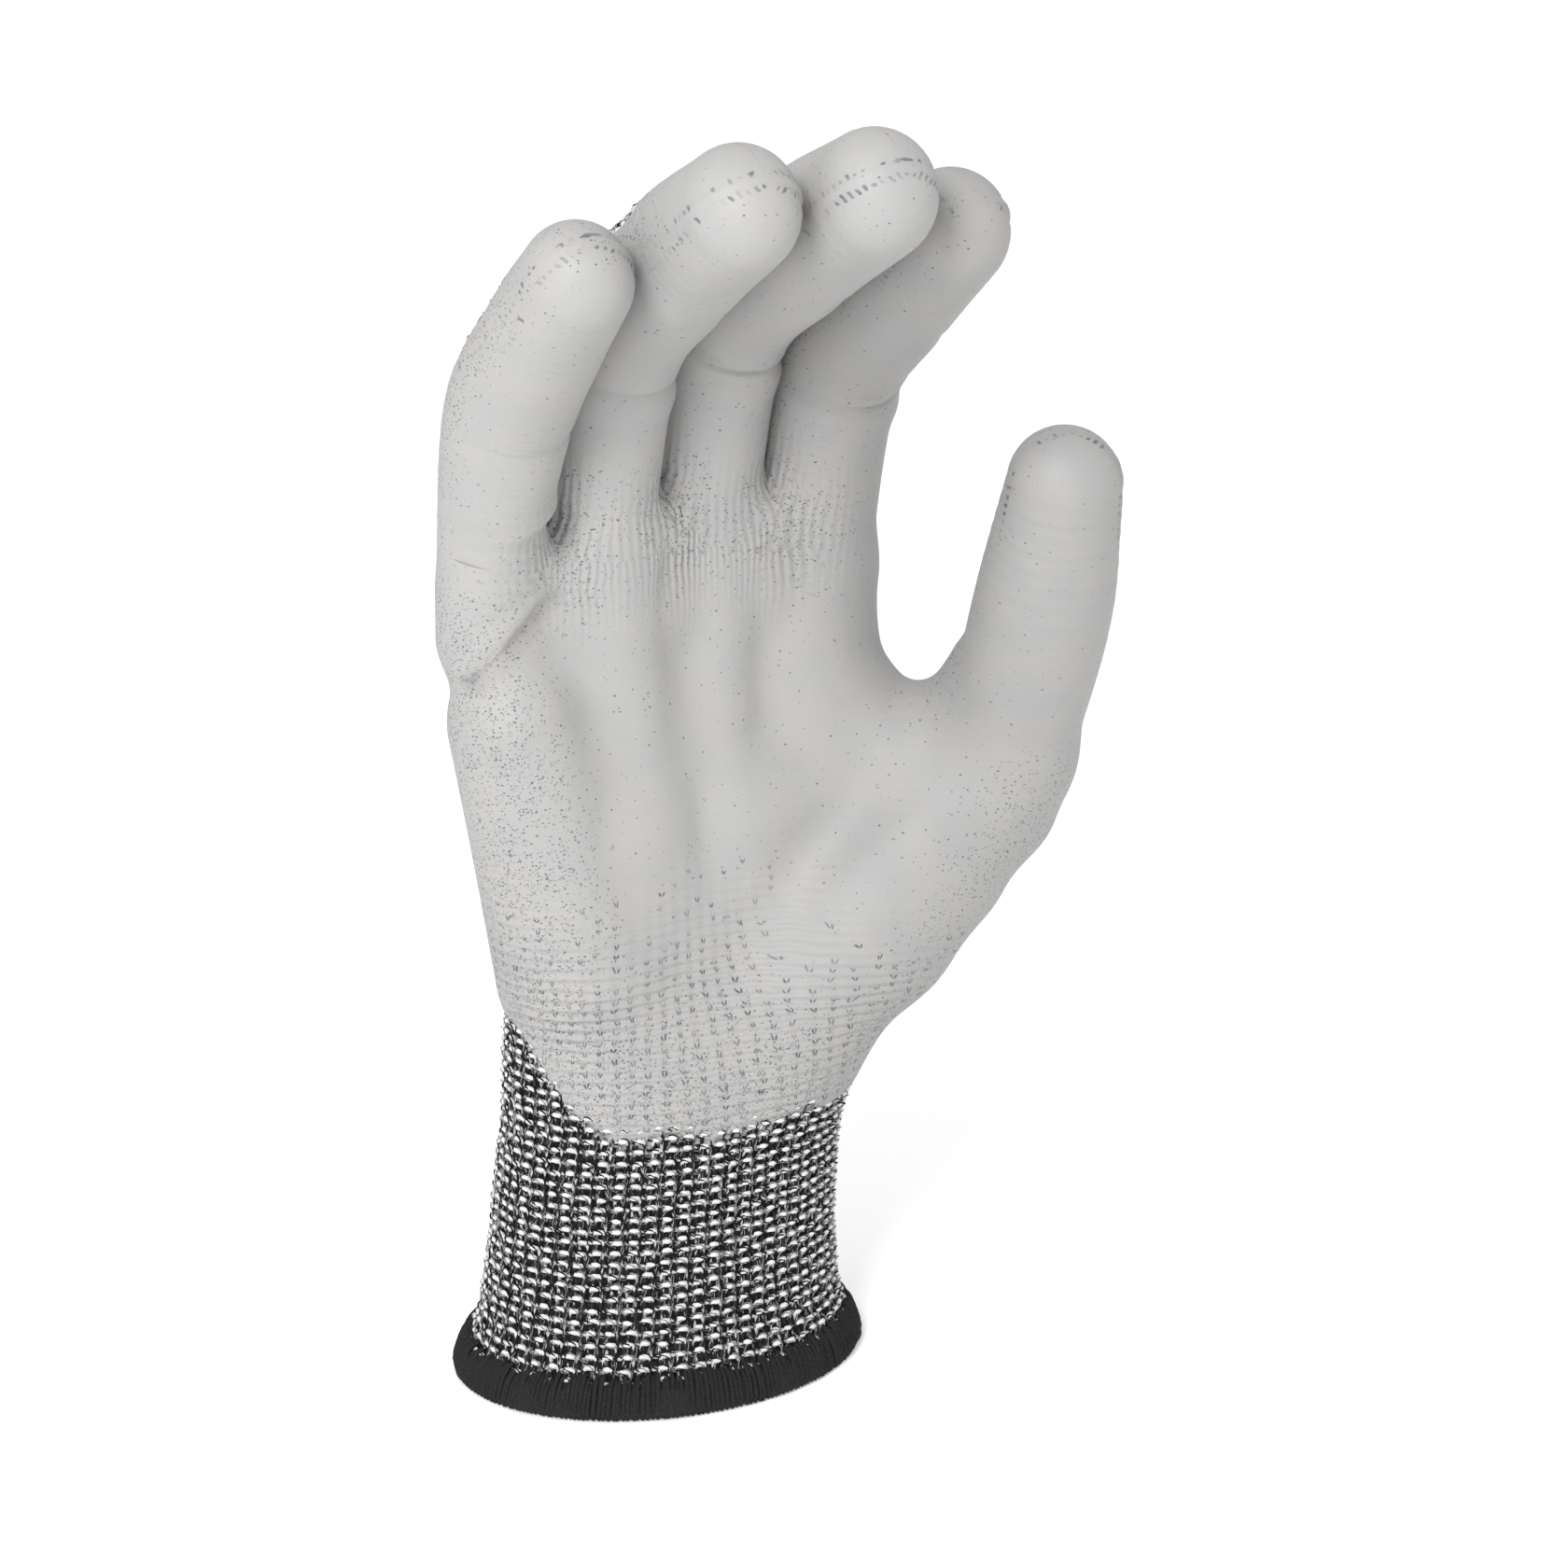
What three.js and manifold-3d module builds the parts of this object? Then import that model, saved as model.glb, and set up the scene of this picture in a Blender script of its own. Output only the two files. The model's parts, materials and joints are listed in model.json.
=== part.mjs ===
// A knitted cut resistant work glove for the right hand, dipped in a thin coat of polyurethane.
// Millimetres, fingers up along +Z, palm facing -Y, thumb towards +X, standing on its cuff's hem.
// The knit liner is a hollow skin. It is split at the knuckles, where the fabric stretches and folds,
// and each split is a round sleeve that turns inside the open end of the piece below it.
import * as THREE from "three";
import Module from "manifold-3d";
import { ConvexGeometry } from "three/addons/geometries/ConvexGeometry.js";
import { mergeVertices } from "three/addons/utils/BufferGeometryUtils.js";

const wasm = await Module();
wasm.setup();

// Thickness of the layers, from the hand outwards.
const KNIT = 1.0;
const LAYER_GAP = 0.3;
const COAT = 0.5;
const SLEEVE_GAP = 0.4;
const SLEEVE_WALL = 0.8;
const SLEEVE_SEAM = 0.4;
const SPLIT_GAP = 0.35;

// Facets around a finger, a palm ball and the wrist.
const FINGER_SIDES = 14;
const BALL_SIDES = 12;
const BORE_SIDES = 12;
const WRIST_SIDES = 28;
const TIP_LATITUDES = [0, 22, 45, 68, 90];

// How far each joint bends from the resting curl, in degrees: towards the palm, and back.
const BEND = {
  knuckle: { flex: 50, extend: 25 },
  middle: { flex: 50, extend: 30 },
  end: { flex: 35, extend: 10 },
  thumb_base: { flex: 15, extend: 15 },
  thumb_end: { flex: 40, extend: 15 },
  wrist: { flex: 30, extend: 30 },
};

// Each finger lies in its own plane across X: joint centres as [y, z], the last one in the fingertip,
// and the outer radius of the glove at each of them.
const FINGERS = {
  index: {
    x: 33.2,
    centres: [[2, 151], [-8, 185.6], [-28.5, 203.2], [-45.5, 214.8]],
    radii: [10.9, 11.3, 11, 10.2],
  },
  middle: {
    x: 10.1,
    centres: [[4, 153.5], [-8, 195.4], [-36, 213.2], [-60, 225]],
    radii: [11, 11.3, 11.2, 10.6],
  },
  ring: {
    x: -12.9,
    centres: [[0, 154.5], [-11, 193.3], [-34, 211], [-55.6, 223.7]],
    radii: [10.6, 10.9, 10.9, 10.4],
  },
  little: {
    x: -34.8,
    centres: [[-4, 155.5], [-13.7, 184.3], [-28, 199.8], [-40, 210]],
    radii: [10.4, 10.6, 10.6, 9.9],
  },
};
const FINGER_PARTS = ["proximal", "middle", "distal"];

// The thumb bends towards its pad, which faces the fingers and the palm.
const THUMB = {
  centres: [[32.7, -6, 73], [60, -26, 115.5], [58.2, -40, 145.8], [55.5, -50, 170.3]],
  radii: [15.5, 13.4, 12.5, 10.4],
  pad: [-0.25, -0.93, -0.45],
};

// The palm between the wrist and the knuckles: rounded corners as [x, y, z, radius].
const PALM_CORNERS = [
  [-14, -3, 90, 15.5],
  [-27.5, -3, 124, 13.2],
  [24, 0, 95, 15.5],
  [34, 1, 125, 13],
];
// The ball of the thumb and the web between the thumb and the index finger.
const THUMB_CORNERS = [
  [35, -6, 77, 15.5],
  [50, -16, 96, 15],
  [37, -3, 118, 10.5],
];

// The cuff: height, centre x and the half widths of its oval.
const CUFF = [
  { z: 0, x: 0, a: 39.8, b: 32 },
  { z: 5.5, x: 0, a: 38, b: 30 },
  { z: 12, x: 0.5, a: 35.8, b: 27.5 },
  { z: 25, x: 1.5, a: 34.6, b: 25 },
  { z: 43, x: 3.5, a: 34.2, b: 24 },
  { z: 62, x: 6.5, a: 33.5, b: 23.5 },
];
const CUFF_WALL = 1.2;
const WRIST = new THREE.Vector3(3.5, 0, 43);
const WRIST_SLEEVE_REACH = 40;

// The black overlocked hem wraps the cuff's lower edge.
const HEM = { height: 5.5, edge: 1.0, cover: 1.3 };

// The elastic thread laid round the inside of the cuff.
const ELASTIC = { radius: 0.4, turns: 5, bottom: 9, top: 30, sides: 4, stepsPerTurn: 20 };

// The coat leaves the wrist bare below a slanting edge and the backs of the hand and fingers bare.
const COAT_EDGE = { height: 68, slope: 0.76 };
const BARE_BACK = 0.55;
const BARE_BACK_PALM = 8;

const KNIT_LOOK = { color: 0x8d8d8b, roughness: 0.95, metalness: 0 };
const COAT_LOOK = { color: 0xcdcdcb, roughness: 0.6, metalness: 0 };
const HEM_LOOK = { color: 0x2b2b2b, roughness: 0.95, metalness: 0 };
const ELASTIC_LOOK = { color: 0xe2e0da, roughness: 0.7, metalness: 0 };

const degrees = THREE.MathUtils.degToRad;
const ACROSS = new THREE.Vector3(1, 0, 0);
const glove = new THREE.Group();

function solid(geometry) {
  const bare = geometry.clone();
  bare.deleteAttribute("normal");
  bare.deleteAttribute("uv");
  const merged = mergeVertices(bare, 1e-4);
  const corners = Array.from(merged.index.array);
  const faces = [];
  for (let i = 0; i < corners.length; i += 3) {
    const [a, b, c] = corners.slice(i, i + 3);
    if (a !== b && b !== c && c !== a) faces.push(a, b, c);
  }
  const mesh = new wasm.Mesh({
    numProp: 3,
    vertProperties: merged.attributes.position.array,
    triVerts: new Uint32Array(faces),
  });
  return new wasm.Manifold(mesh);
}

function addNode(name, body, look) {
  const made = body.getMesh();
  const geometry = new THREE.BufferGeometry();
  geometry.setAttribute("position", new THREE.BufferAttribute(made.vertProperties, 3));
  geometry.setIndex(new THREE.BufferAttribute(made.triVerts, 1));
  geometry.computeVertexNormals();
  const mesh = new THREE.Mesh(geometry, new THREE.MeshStandardMaterial(look));
  mesh.name = name;
  glove.add(mesh);
}

// Points of a coarse ball, for hulls.
function ballPoints(centre, radius, sides = BALL_SIDES) {
  const ball = new THREE.SphereGeometry(radius, sides, sides / 2);
  const at = ball.attributes.position;
  const points = [];
  for (let i = 0; i < at.count; i++) {
    points.push(new THREE.Vector3().fromBufferAttribute(at, i).add(centre));
  }
  return points;
}

function ovalPoints(x, z, a, b) {
  const points = [];
  for (let i = 0; i < WRIST_SIDES; i++) {
    const turn = (2 * Math.PI * i) / WRIST_SIDES;
    points.push(new THREE.Vector3(x + a * Math.cos(turn), b * Math.sin(turn), z));
  }
  return points;
}

const hull = (points) => solid(new ConvexGeometry(points));

// Turns shapes built along Y, with the palm side towards Z, to lie along a bone.
function boneFrame(origin, direction, axis) {
  const palmSide = new THREE.Vector3().crossVectors(axis, direction).normalize();
  const across = new THREE.Vector3().crossVectors(direction, palmSide).normalize();
  return new THREE.Matrix4().makeBasis(across, direction, palmSide).setPosition(origin);
}

function revolve(profile, frame) {
  const points = profile.map(([radius, height]) => new THREE.Vector2(Math.max(radius, 0), height));
  points.push(points[0].clone());
  return solid(new THREE.LatheGeometry(points, FINGER_SIDES).applyMatrix4(frame));
}

// The two pairs of planes that leave a bending wedge between the piece below a joint and the one above.
function wedge(centre, below, above, axis, bend) {
  const up = below.clone().add(above);
  up.addScaledVector(axis, -up.dot(axis)).normalize();
  const palm = new THREE.Vector3().crossVectors(axis, up);
  const flex = degrees(bend.flex / 2);
  const extend = degrees(bend.extend / 2);
  const plane = (tilt) => {
    return up.clone().multiplyScalar(Math.cos(tilt)).addScaledVector(palm, Math.sin(tilt));
  };
  return { centre, lower: [plane(flex), plane(-extend)], upper: [plane(-flex), plane(extend)] };
}

const keepAbove = (body, normal, offset) => body.trimByPlane(normal.toArray(), offset);

function keepUpperSide(body, cut) {
  for (const normal of cut.upper) {
    body = keepAbove(body, normal, normal.dot(cut.centre) + SPLIT_GAP);
  }
  return body;
}

function keepLowerSide(body, cut) {
  for (const normal of cut.lower) {
    body = keepAbove(body, normal.clone().negate(), SPLIT_GAP - normal.dot(cut.centre));
  }
  return body;
}

// The part of a block that a bending piece needs for its swing.
function swingRoom(block, cut) {
  const [palmSide, backSide] = cut.lower.map((normal) =>
    keepAbove(block, normal, normal.dot(cut.centre) - SPLIT_GAP),
  );
  return palmSide.add(backSide);
}

// Radii of the layers where the glove's outer radius is known.
const knitOuter = (outer) => outer - COAT - LAYER_GAP;
const knitInner = (outer) => knitOuter(outer) - KNIT;
const sleeveOuter = (outer) => knitInner(outer) - SLEEVE_GAP;

// The round sleeve at the start of a segment: a band of a hollow ball, leaning towards the palm side.
function sleeve(frame, radius) {
  const lowest = -52;
  const highest = 32;
  const steps = 4;
  const profile = [];
  for (let i = 0; i <= steps; i++) {
    const latitude = degrees(lowest + ((highest - lowest) * i) / steps);
    profile.push([radius * Math.cos(latitude), radius * Math.sin(latitude)]);
  }
  const inner = radius - SLEEVE_WALL;
  for (let i = steps; i >= 0; i--) {
    const latitude = degrees(lowest + ((highest - lowest) * i) / steps);
    profile.push([inner * Math.cos(latitude), inner * Math.sin(latitude)]);
  }
  const leaning = frame.clone().multiply(new THREE.Matrix4().makeRotationX(degrees(10)));
  return revolve(profile, leaning);
}

// Profile of a straight tube from one joint to the next, open at both ends.
function openTube(from, to, length, start, end, inset) {
  const past = 9;
  const slope = (to - from) / length;
  const low = from - slope * past;
  const high = to + slope * past;
  return [
    [low - inset, -past],
    [high - inset, length + past],
    [end, length + past],
    [end, length - past],
    [start, past],
    [start, -past],
  ];
}

// Profile of the last segment, closed by a rounded tip.
function closedTube(from, tip, length, start, inset, wall) {
  const past = 9;
  const low = from - ((tip - from) / length) * past;
  const profile = [[low - inset, -past]];
  const addArc = (radius, latitudes) => {
    for (const latitude of latitudes.map(degrees)) {
      profile.push([radius * Math.cos(latitude), length + radius * Math.sin(latitude)]);
    }
  };
  addArc(tip - inset, TIP_LATITUDES);
  addArc(tip - inset - wall, TIP_LATITUDES.toReversed());
  profile.push([start, past - 3], [start, -past]);
  return profile;
}

// A segment of a finger or the thumb: knit with its sleeve, and the coat over it.
function addSegment(name, start, end, radii, axis, cuts) {
  const direction = end.clone().sub(start);
  const length = direction.length();
  direction.normalize();
  const frame = boneFrame(start, direction, axis);
  const [from, to] = radii;
  const ball = sleeveOuter(from);
  const isTip = !cuts.end;
  const knitInset = COAT + LAYER_GAP;

  const knitProfile = isTip
    ? closedTube(from, to, length, ball - SLEEVE_SEAM, knitInset, KNIT)
    : openTube(from, to, length, ball - SLEEVE_SEAM, knitInner(to), knitInset);
  let knit = keepUpperSide(revolve(knitProfile, frame), cuts.start);
  if (!isTip) knit = keepLowerSide(knit, cuts.end);
  addNode(name + "_knit", knit.add(sleeve(frame, ball)), KNIT_LOOK);

  const coatProfile = isTip
    ? closedTube(from, to, length, from - COAT, 0, COAT)
    : openTube(from, to, length, from - COAT, to - COAT, 0);
  let coat = keepUpperSide(revolve(coatProfile, frame), cuts.start);
  if (!isTip) {
    coat = keepLowerSide(coat, cuts.end);
    const back = new THREE.Vector3().crossVectors(axis, direction).normalize();
    coat = keepAbove(coat, back, back.dot(start) - BARE_BACK * from);
  }
  addNode(name + "_coating", coat, COAT_LOOK);
}

// All three segments of a finger.
function addFinger(name, finger) {
  const centres = finger.centres.map(([y, z]) => new THREE.Vector3(finger.x, y, z));
  const cuts = fingerCuts(centres, ACROSS, ["knuckle", "middle", "end"]);
  FINGER_PARTS.forEach((part, i) => {
    const radii = [finger.radii[i], finger.radii[i + 1]];
    addSegment(name + "_" + part, centres[i], centres[i + 1], radii, ACROSS, {
      start: cuts[i],
      end: cuts[i + 1],
    });
  });
}

const PALM_DIRECTION = new THREE.Vector3(0, -0.09, 1).normalize();

function fingerCuts(centres, axis, bends, below = PALM_DIRECTION) {
  const directions = centres.slice(1).map((centre, i) => centre.clone().sub(centres[i]).normalize());
  return bends.map((bend, i) => {
    const under = i === 0 ? below : directions[i - 1];
    return wedge(centres[i], under, directions[i], axis, BEND[bend]);
  });
}

const thumbCentres = THUMB.centres.map((centre) => new THREE.Vector3(...centre));
const thumbDirection = thumbCentres[3].clone().sub(thumbCentres[1]).normalize();
const thumbPad = new THREE.Vector3(...THUMB.pad);
const thumbAxis = thumbDirection.clone().cross(thumbPad).normalize();
const thumbBelow = thumbCentres[1].clone().sub(thumbCentres[0]).normalize();
const thumbCuts = fingerCuts(thumbCentres.slice(1), thumbAxis, ["thumb_base", "thumb_end"], thumbBelow);

function addThumb() {
  ["proximal", "distal"].forEach((part, i) => {
    const radii = [THUMB.radii[i + 1], THUMB.radii[i + 2]];
    addSegment("thumb_" + part, thumbCentres[i + 1], thumbCentres[i + 2], radii, thumbAxis, {
      start: thumbCuts[i],
      end: thumbCuts[i + 1],
    });
  });
}

// The palm's rounded block, grown or shrunk by a layer's offset from the knit's outside.
// Drop lowers its top corners, which keeps solid webs between the finger openings. Collar narrows
// its oval at the wrist, where the knit joins its sleeve.
function palmBlock(offset, drop = 0, collar = 0) {
  const points = [];
  for (const { x, z, a, b } of CUFF.slice(4)) {
    const inset = offset - collar;
    points.push(...ovalPoints(x, z === WRIST.z ? z - 9 : z, a + inset, b + inset));
  }
  for (const [x, y, z, radius] of PALM_CORNERS) {
    points.push(...ballPoints(new THREE.Vector3(x, y, z), radius + offset));
  }
  for (const finger of Object.values(FINGERS)) {
    const [y, z] = finger.centres[0];
    const centre = new THREE.Vector3(finger.x, y, z).addScaledVector(PALM_DIRECTION, -drop);
    points.push(...ballPoints(centre, knitOuter(finger.radii[0]) + offset));
  }
  return hull(points);
}

function thumbBlock(offset) {
  const points = [...ballPoints(thumbCentres[1], knitOuter(THUMB.radii[1]) + offset)];
  for (const [x, y, z, radius] of THUMB_CORNERS) {
    points.push(...ballPoints(new THREE.Vector3(x, y, z), radius + offset));
  }
  return hull(points);
}

const box = (low, high) => {
  const size = high.map((value, i) => value - low[i]);
  const middle = high.map((value, i) => (value + low[i]) / 2);
  return solid(new THREE.BoxGeometry(...size).translate(...middle));
};

// Room above the palm for every finger and the thumb to bend.
function palmSwingRoom() {
  const fingers = Object.values(FINGERS).sort((a, b) => a.x - b.x);
  let room = null;
  fingers.forEach((finger, i) => {
    const left = i === 0 ? finger.x - 16 : (fingers[i - 1].x + finger.x) / 2;
    const right = i === 3 ? finger.x + 16 : (fingers[i + 1].x + finger.x) / 2;
    const centres = finger.centres.map(([y, z]) => new THREE.Vector3(finger.x, y, z));
    const cut = fingerCuts(centres, ACROSS, ["knuckle"])[0];
    const column = swingRoom(box([left, -60, 132], [right, 60, 190]), cut);
    room = room ? room.add(column) : column;
  });
  const reach = 17;
  const ahead = thumbCentres[1].clone().addScaledVector(thumbDirection, 12);
  const around = box(
    ahead.toArray().map((value) => value - reach),
    ahead.toArray().map((value) => value + reach),
  );
  return room.add(swingRoom(around, thumbCuts[0]));
}

// A bore in the palm for a finger's or the thumb's sleeve.
function sleeveBore(centre, direction, radius, depth) {
  const deep = centre.clone().addScaledVector(direction, -depth);
  const mouth = ballPoints(centre, radius, BORE_SIDES);
  const bottom = ballPoints(deep, radius - 0.5, BORE_SIDES);
  return hull([...mouth, ...bottom]);
}

const wristCut = wedge(WRIST, PALM_DIRECTION, PALM_DIRECTION, ACROSS, BEND.wrist);

function wristSleeve(gap, reach) {
  const { a, b } = CUFF[4];
  const outerB = b - CUFF_WALL - gap;
  const stretch = (a - CUFF_WALL - gap) / outerB;
  const steps = 5;
  const profile = [];
  for (let i = 0; i <= steps; i++) {
    const latitude = degrees(-reach + ((reach + 24) * i) / steps);
    profile.push(new THREE.Vector2(outerB * Math.cos(latitude), outerB * Math.sin(latitude)));
  }
  for (let i = steps; i >= 0; i--) {
    const latitude = degrees(-reach + ((reach + 24) * i) / steps);
    const inner = outerB - SLEEVE_WALL;
    profile.push(new THREE.Vector2(inner * Math.cos(latitude), inner * Math.sin(latitude)));
  }
  profile.push(profile[0].clone());
  const band = new THREE.LatheGeometry(profile, WRIST_SIDES).rotateX(Math.PI / 2);
  band.scale(stretch, 1, 1).translate(WRIST.x, WRIST.y, WRIST.z);
  return solid(band);
}

function addPalm() {
  const room = palmSwingRoom();
  const topDrop = 13;
  let knit = palmBlock(0).add(thumbBlock(0));
  knit = knit.subtract(palmBlock(-KNIT, topDrop, 1)).subtract(thumbBlock(-KNIT));
  for (const finger of Object.values(FINGERS)) {
    const [y, z] = finger.centres[0];
    const centre = new THREE.Vector3(finger.x, y, z);
    knit = knit.subtract(sleeveBore(centre, PALM_DIRECTION, knitInner(finger.radii[0]) + 0.5, 16));
  }
  knit = knit.subtract(sleeveBore(thumbCentres[1], thumbBelow, knitInner(THUMB.radii[1]) + 0.5, 16));
  knit = keepUpperSide(knit.subtract(room), wristCut);
  addNode("palm_knit", knit.add(wristSleeve(SLEEVE_GAP, WRIST_SLEEVE_REACH)), KNIT_LOOK);

  const outside = palmBlock(LAYER_GAP + COAT).add(thumbBlock(LAYER_GAP + COAT));
  const inside = palmBlock(LAYER_GAP).add(thumbBlock(LAYER_GAP));
  let coat = outside.subtract(inside).subtract(room);
  const slant = new THREE.Vector3(0, -COAT_EDGE.slope, 1);
  coat = keepAbove(coat, slant.clone().normalize(), COAT_EDGE.height / slant.length());
  coat = keepAbove(coat, new THREE.Vector3(0, -1, 0), -BARE_BACK_PALM);
  addNode("palm_coating", coat, COAT_LOOK);
}

// The cuff's oval at any height, read between the given stations.
function cuffAt(z) {
  const above = CUFF.findIndex((station) => station.z >= z);
  const high = CUFF[Math.max(above, 1)];
  const low = CUFF[Math.max(above, 1) - 1];
  const part = (z - low.z) / (high.z - low.z);
  const between = (key) => THREE.MathUtils.lerp(low[key], high[key], part);
  return { z, x: between("x"), a: between("a"), b: between("b") };
}

// A stack of oval slices between two heights, grown by an offset.
function cuffStack(bottom, top, offset) {
  const heights = [bottom, ...CUFF.map(({ z }) => z).filter((z) => z > bottom && z < top), top];
  let stack = null;
  for (let i = 1; i < heights.length; i++) {
    const points = [];
    for (const { x, z, a, b } of [cuffAt(heights[i - 1]), cuffAt(heights[i])]) {
      points.push(...ovalPoints(x, z, a + offset, b + offset));
    }
    stack = stack ? stack.add(hull(points)) : hull(points);
  }
  return stack;
}

function addCuff() {
  const top = 52;
  const wall = cuffStack(HEM.cover, top, 0).subtract(cuffStack(HEM.cover - 1, top + 1, -CUFF_WALL));
  addNode("cuff_knit", keepLowerSide(wall, wristCut), KNIT_LOOK);

  const bandInside = cuffStack(-0.5, HEM.height + 0.5, -CUFF_WALL - 1.3);
  const band = cuffStack(0, HEM.height, 1.5).subtract(bandInside);
  const grooveInside = cuffStack(HEM.edge - 0.5, HEM.height + 1, -CUFF_WALL - LAYER_GAP);
  const groove = cuffStack(HEM.edge, HEM.height + 0.5, LAYER_GAP).subtract(grooveInside);
  addNode("hem_overlock", band.subtract(groove), HEM_LOOK);
}

class ElasticPath extends THREE.Curve {
  getPoint(along) {
    const turn = 2 * Math.PI * ELASTIC.turns * along;
    const { z, x, a, b } = cuffAt(THREE.MathUtils.lerp(ELASTIC.bottom, ELASTIC.top, along));
    const inset = CUFF_WALL + LAYER_GAP + ELASTIC.radius + 0.15;
    return new THREE.Vector3(x + (a - inset) * Math.cos(turn), (b - inset) * Math.sin(turn), z);
  }
}

function addElastic() {
  const round = new THREE.Shape();
  for (let i = 0; i < ELASTIC.sides; i++) {
    const turn = (2 * Math.PI * i) / ELASTIC.sides;
    const at = [ELASTIC.radius * Math.cos(turn), ELASTIC.radius * Math.sin(turn)];
    if (i === 0) round.moveTo(...at);
    else round.lineTo(...at);
  }
  round.closePath();
  const thread = new THREE.ExtrudeGeometry(round, {
    steps: ELASTIC.turns * ELASTIC.stepsPerTurn,
    extrudePath: new ElasticPath(),
    bevelEnabled: false,
  });
  addNode("cuff_elastic", solid(thread), ELASTIC_LOOK);
}

addCuff();
addElastic();
addPalm();
for (const [name, finger] of Object.entries(FINGERS)) addFinger(name, finger);
addThumb();

// The part's origin is under the middle of the whole glove, on the plane it stands on.
const bounds = new THREE.Box3().setFromObject(glove);
const middle = bounds.getCenter(new THREE.Vector3());
glove.position.set(-middle.x, -middle.y, -bounds.min.z);

export default glove;
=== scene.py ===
"""A knitted cut resistant glove with a dipped polyurethane coat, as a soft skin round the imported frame.

The skin is one smooth distance field in millimetres: a palm, a wrist and five curled digits. Where the
coat stops, real loops of yarn lie on the surface.
"""

import json
import math

import bmesh
import bpy
import numpy as np
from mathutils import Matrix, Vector


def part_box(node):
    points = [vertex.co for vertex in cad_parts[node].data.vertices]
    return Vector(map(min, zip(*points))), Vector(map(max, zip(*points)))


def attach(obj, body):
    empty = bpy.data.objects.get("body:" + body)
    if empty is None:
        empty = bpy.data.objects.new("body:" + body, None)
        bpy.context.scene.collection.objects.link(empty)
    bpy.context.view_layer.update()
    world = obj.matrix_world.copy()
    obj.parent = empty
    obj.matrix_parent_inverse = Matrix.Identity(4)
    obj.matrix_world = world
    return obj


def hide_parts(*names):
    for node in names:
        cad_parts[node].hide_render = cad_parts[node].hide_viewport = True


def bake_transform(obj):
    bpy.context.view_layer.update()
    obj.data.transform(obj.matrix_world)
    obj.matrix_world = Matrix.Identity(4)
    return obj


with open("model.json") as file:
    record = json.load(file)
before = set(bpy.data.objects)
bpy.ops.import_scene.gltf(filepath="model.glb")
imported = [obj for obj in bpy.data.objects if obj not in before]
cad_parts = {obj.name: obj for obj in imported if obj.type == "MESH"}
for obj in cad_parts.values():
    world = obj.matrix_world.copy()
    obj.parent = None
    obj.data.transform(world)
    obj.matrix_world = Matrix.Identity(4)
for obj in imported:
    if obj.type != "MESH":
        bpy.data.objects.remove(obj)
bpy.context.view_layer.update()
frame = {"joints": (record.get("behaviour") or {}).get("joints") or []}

MM = 0.001
RANDOM = np.random.default_rng(7)

# ---- dimensions, in millimetres

FINGERS = ("little", "ring", "middle", "index")
JOINT_ENDS = ("knuckle", "middle", "end")
THUMB_ENDS = ("base", "end")
SEGMENTS = ("proximal", "middle", "distal")
THUMB_SEGMENTS = ("proximal", "distal")

# Outer radius of each digit at its knuckle, middle joint, end joint and the centre of its tip.
DIGIT_RADII = {
    "little": (9.2, 11.6, 10.9, 10.0),
    "ring": (11.8, 12.1, 12.0, 10.8),
    "middle": (12.0, 12.4, 12.2, 11.0),
    "index": (12.8, 12.7, 12.1, 10.6),
    "thumb": (11.8, 12.5, 10.0),
}
# How far each fingertip's skin lies from the CAD fingertip: towards the palm (-Y), and up.
TIP_SHIFT = {"little": (0.0, 0.0), "ring": (0.0, -1.5), "middle": (0.0, -1.2), "index": (-1.8, 0.8)}
# Fingers are a little narrower across the hand than they are deep.
FINGER_NARROWING = 1.07
# Where each digit's own mesh starts, along its centre line from the first joint.
DIGIT_START = {"little": 3.5, "ring": 5.0, "middle": 6.0, "index": 6.0, "thumb": 9.0}
# From the thumb's end joint to the centre of its tip, and the way its pad faces.
THUMB_TIP_STEP = np.array([-2.7, -10.0, 24.5])
THUMB_PAD = np.array([-0.45, -0.8, -0.4])

# The knit: the yarn's radius, the height of a course, the loops in one round of the cuff and their width.
KNIT_RADIUS = 0.46
COURSE = 2.1
CUFF_WALES = 60
WALE = 3.1
# From the skin: where the middle of the yarn lies, the coat's outside, and how deep the near black sheet of
# painted shade under the loops lies.
YARN_LEVEL = -KNIT_RADIUS - 0.33
COAT_LIFT = 0.15
SHADE_LINER_DEPTH = 0.95
# Width and height of one stitch under the coat.
COAT_STITCH = (3.6, 2.0)
# How far past its edge the coat's film goes on sinking into the knit.
RAMP = 3.0
# Points round each ring of a digit's skin, and the length of the closing seam over its tip.
AROUND = 88
TIP_SEAM = 31.0
# How far the palm's mesh runs on under each digit's first ring.
ROOT_OVERLAP = 1.2
# How widely the palm and a digit melt into one another.
ROOT_BLEND = 5.0


def cad_mm(node):
    """The lowest and highest corners of a CAD node, in millimetres."""
    low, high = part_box(node)
    return np.array(low) / MM, np.array(high) / MM


JOINTS = {j["name"]: np.array(j["pos_m"]) / MM for j in frame["joints"]}
HEM_LOW, HEM_HIGH = cad_mm("hem_overlock")
HEM_CENTRE = (HEM_LOW + HEM_HIGH) / 2


# ---- distance field


def smooth_min(a, b, k):
    """The smaller of two distances, with the crease between them filled over a width k."""
    h = np.clip(0.5 + 0.5 * (b - a) / k, 0, 1)
    return b * (1 - h) + a * h - k * h * (1 - h)


def smoothstep(x, low, high):
    t = np.clip((x - low) / (high - low), 0, 1)
    return t * t * (3 - 2 * t)


def unit(rows):
    return rows / np.linalg.norm(rows, axis=1)[:, None]


def along_line(p, a, b):
    """Share of the way from a to b that is nearest to each point, and the distance to it."""
    ab = b - a
    t = np.clip(((p - a) @ ab) / (ab @ ab), 0, 1)
    return t, np.linalg.norm(p - a - t[:, None] * ab, axis=1)


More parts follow.
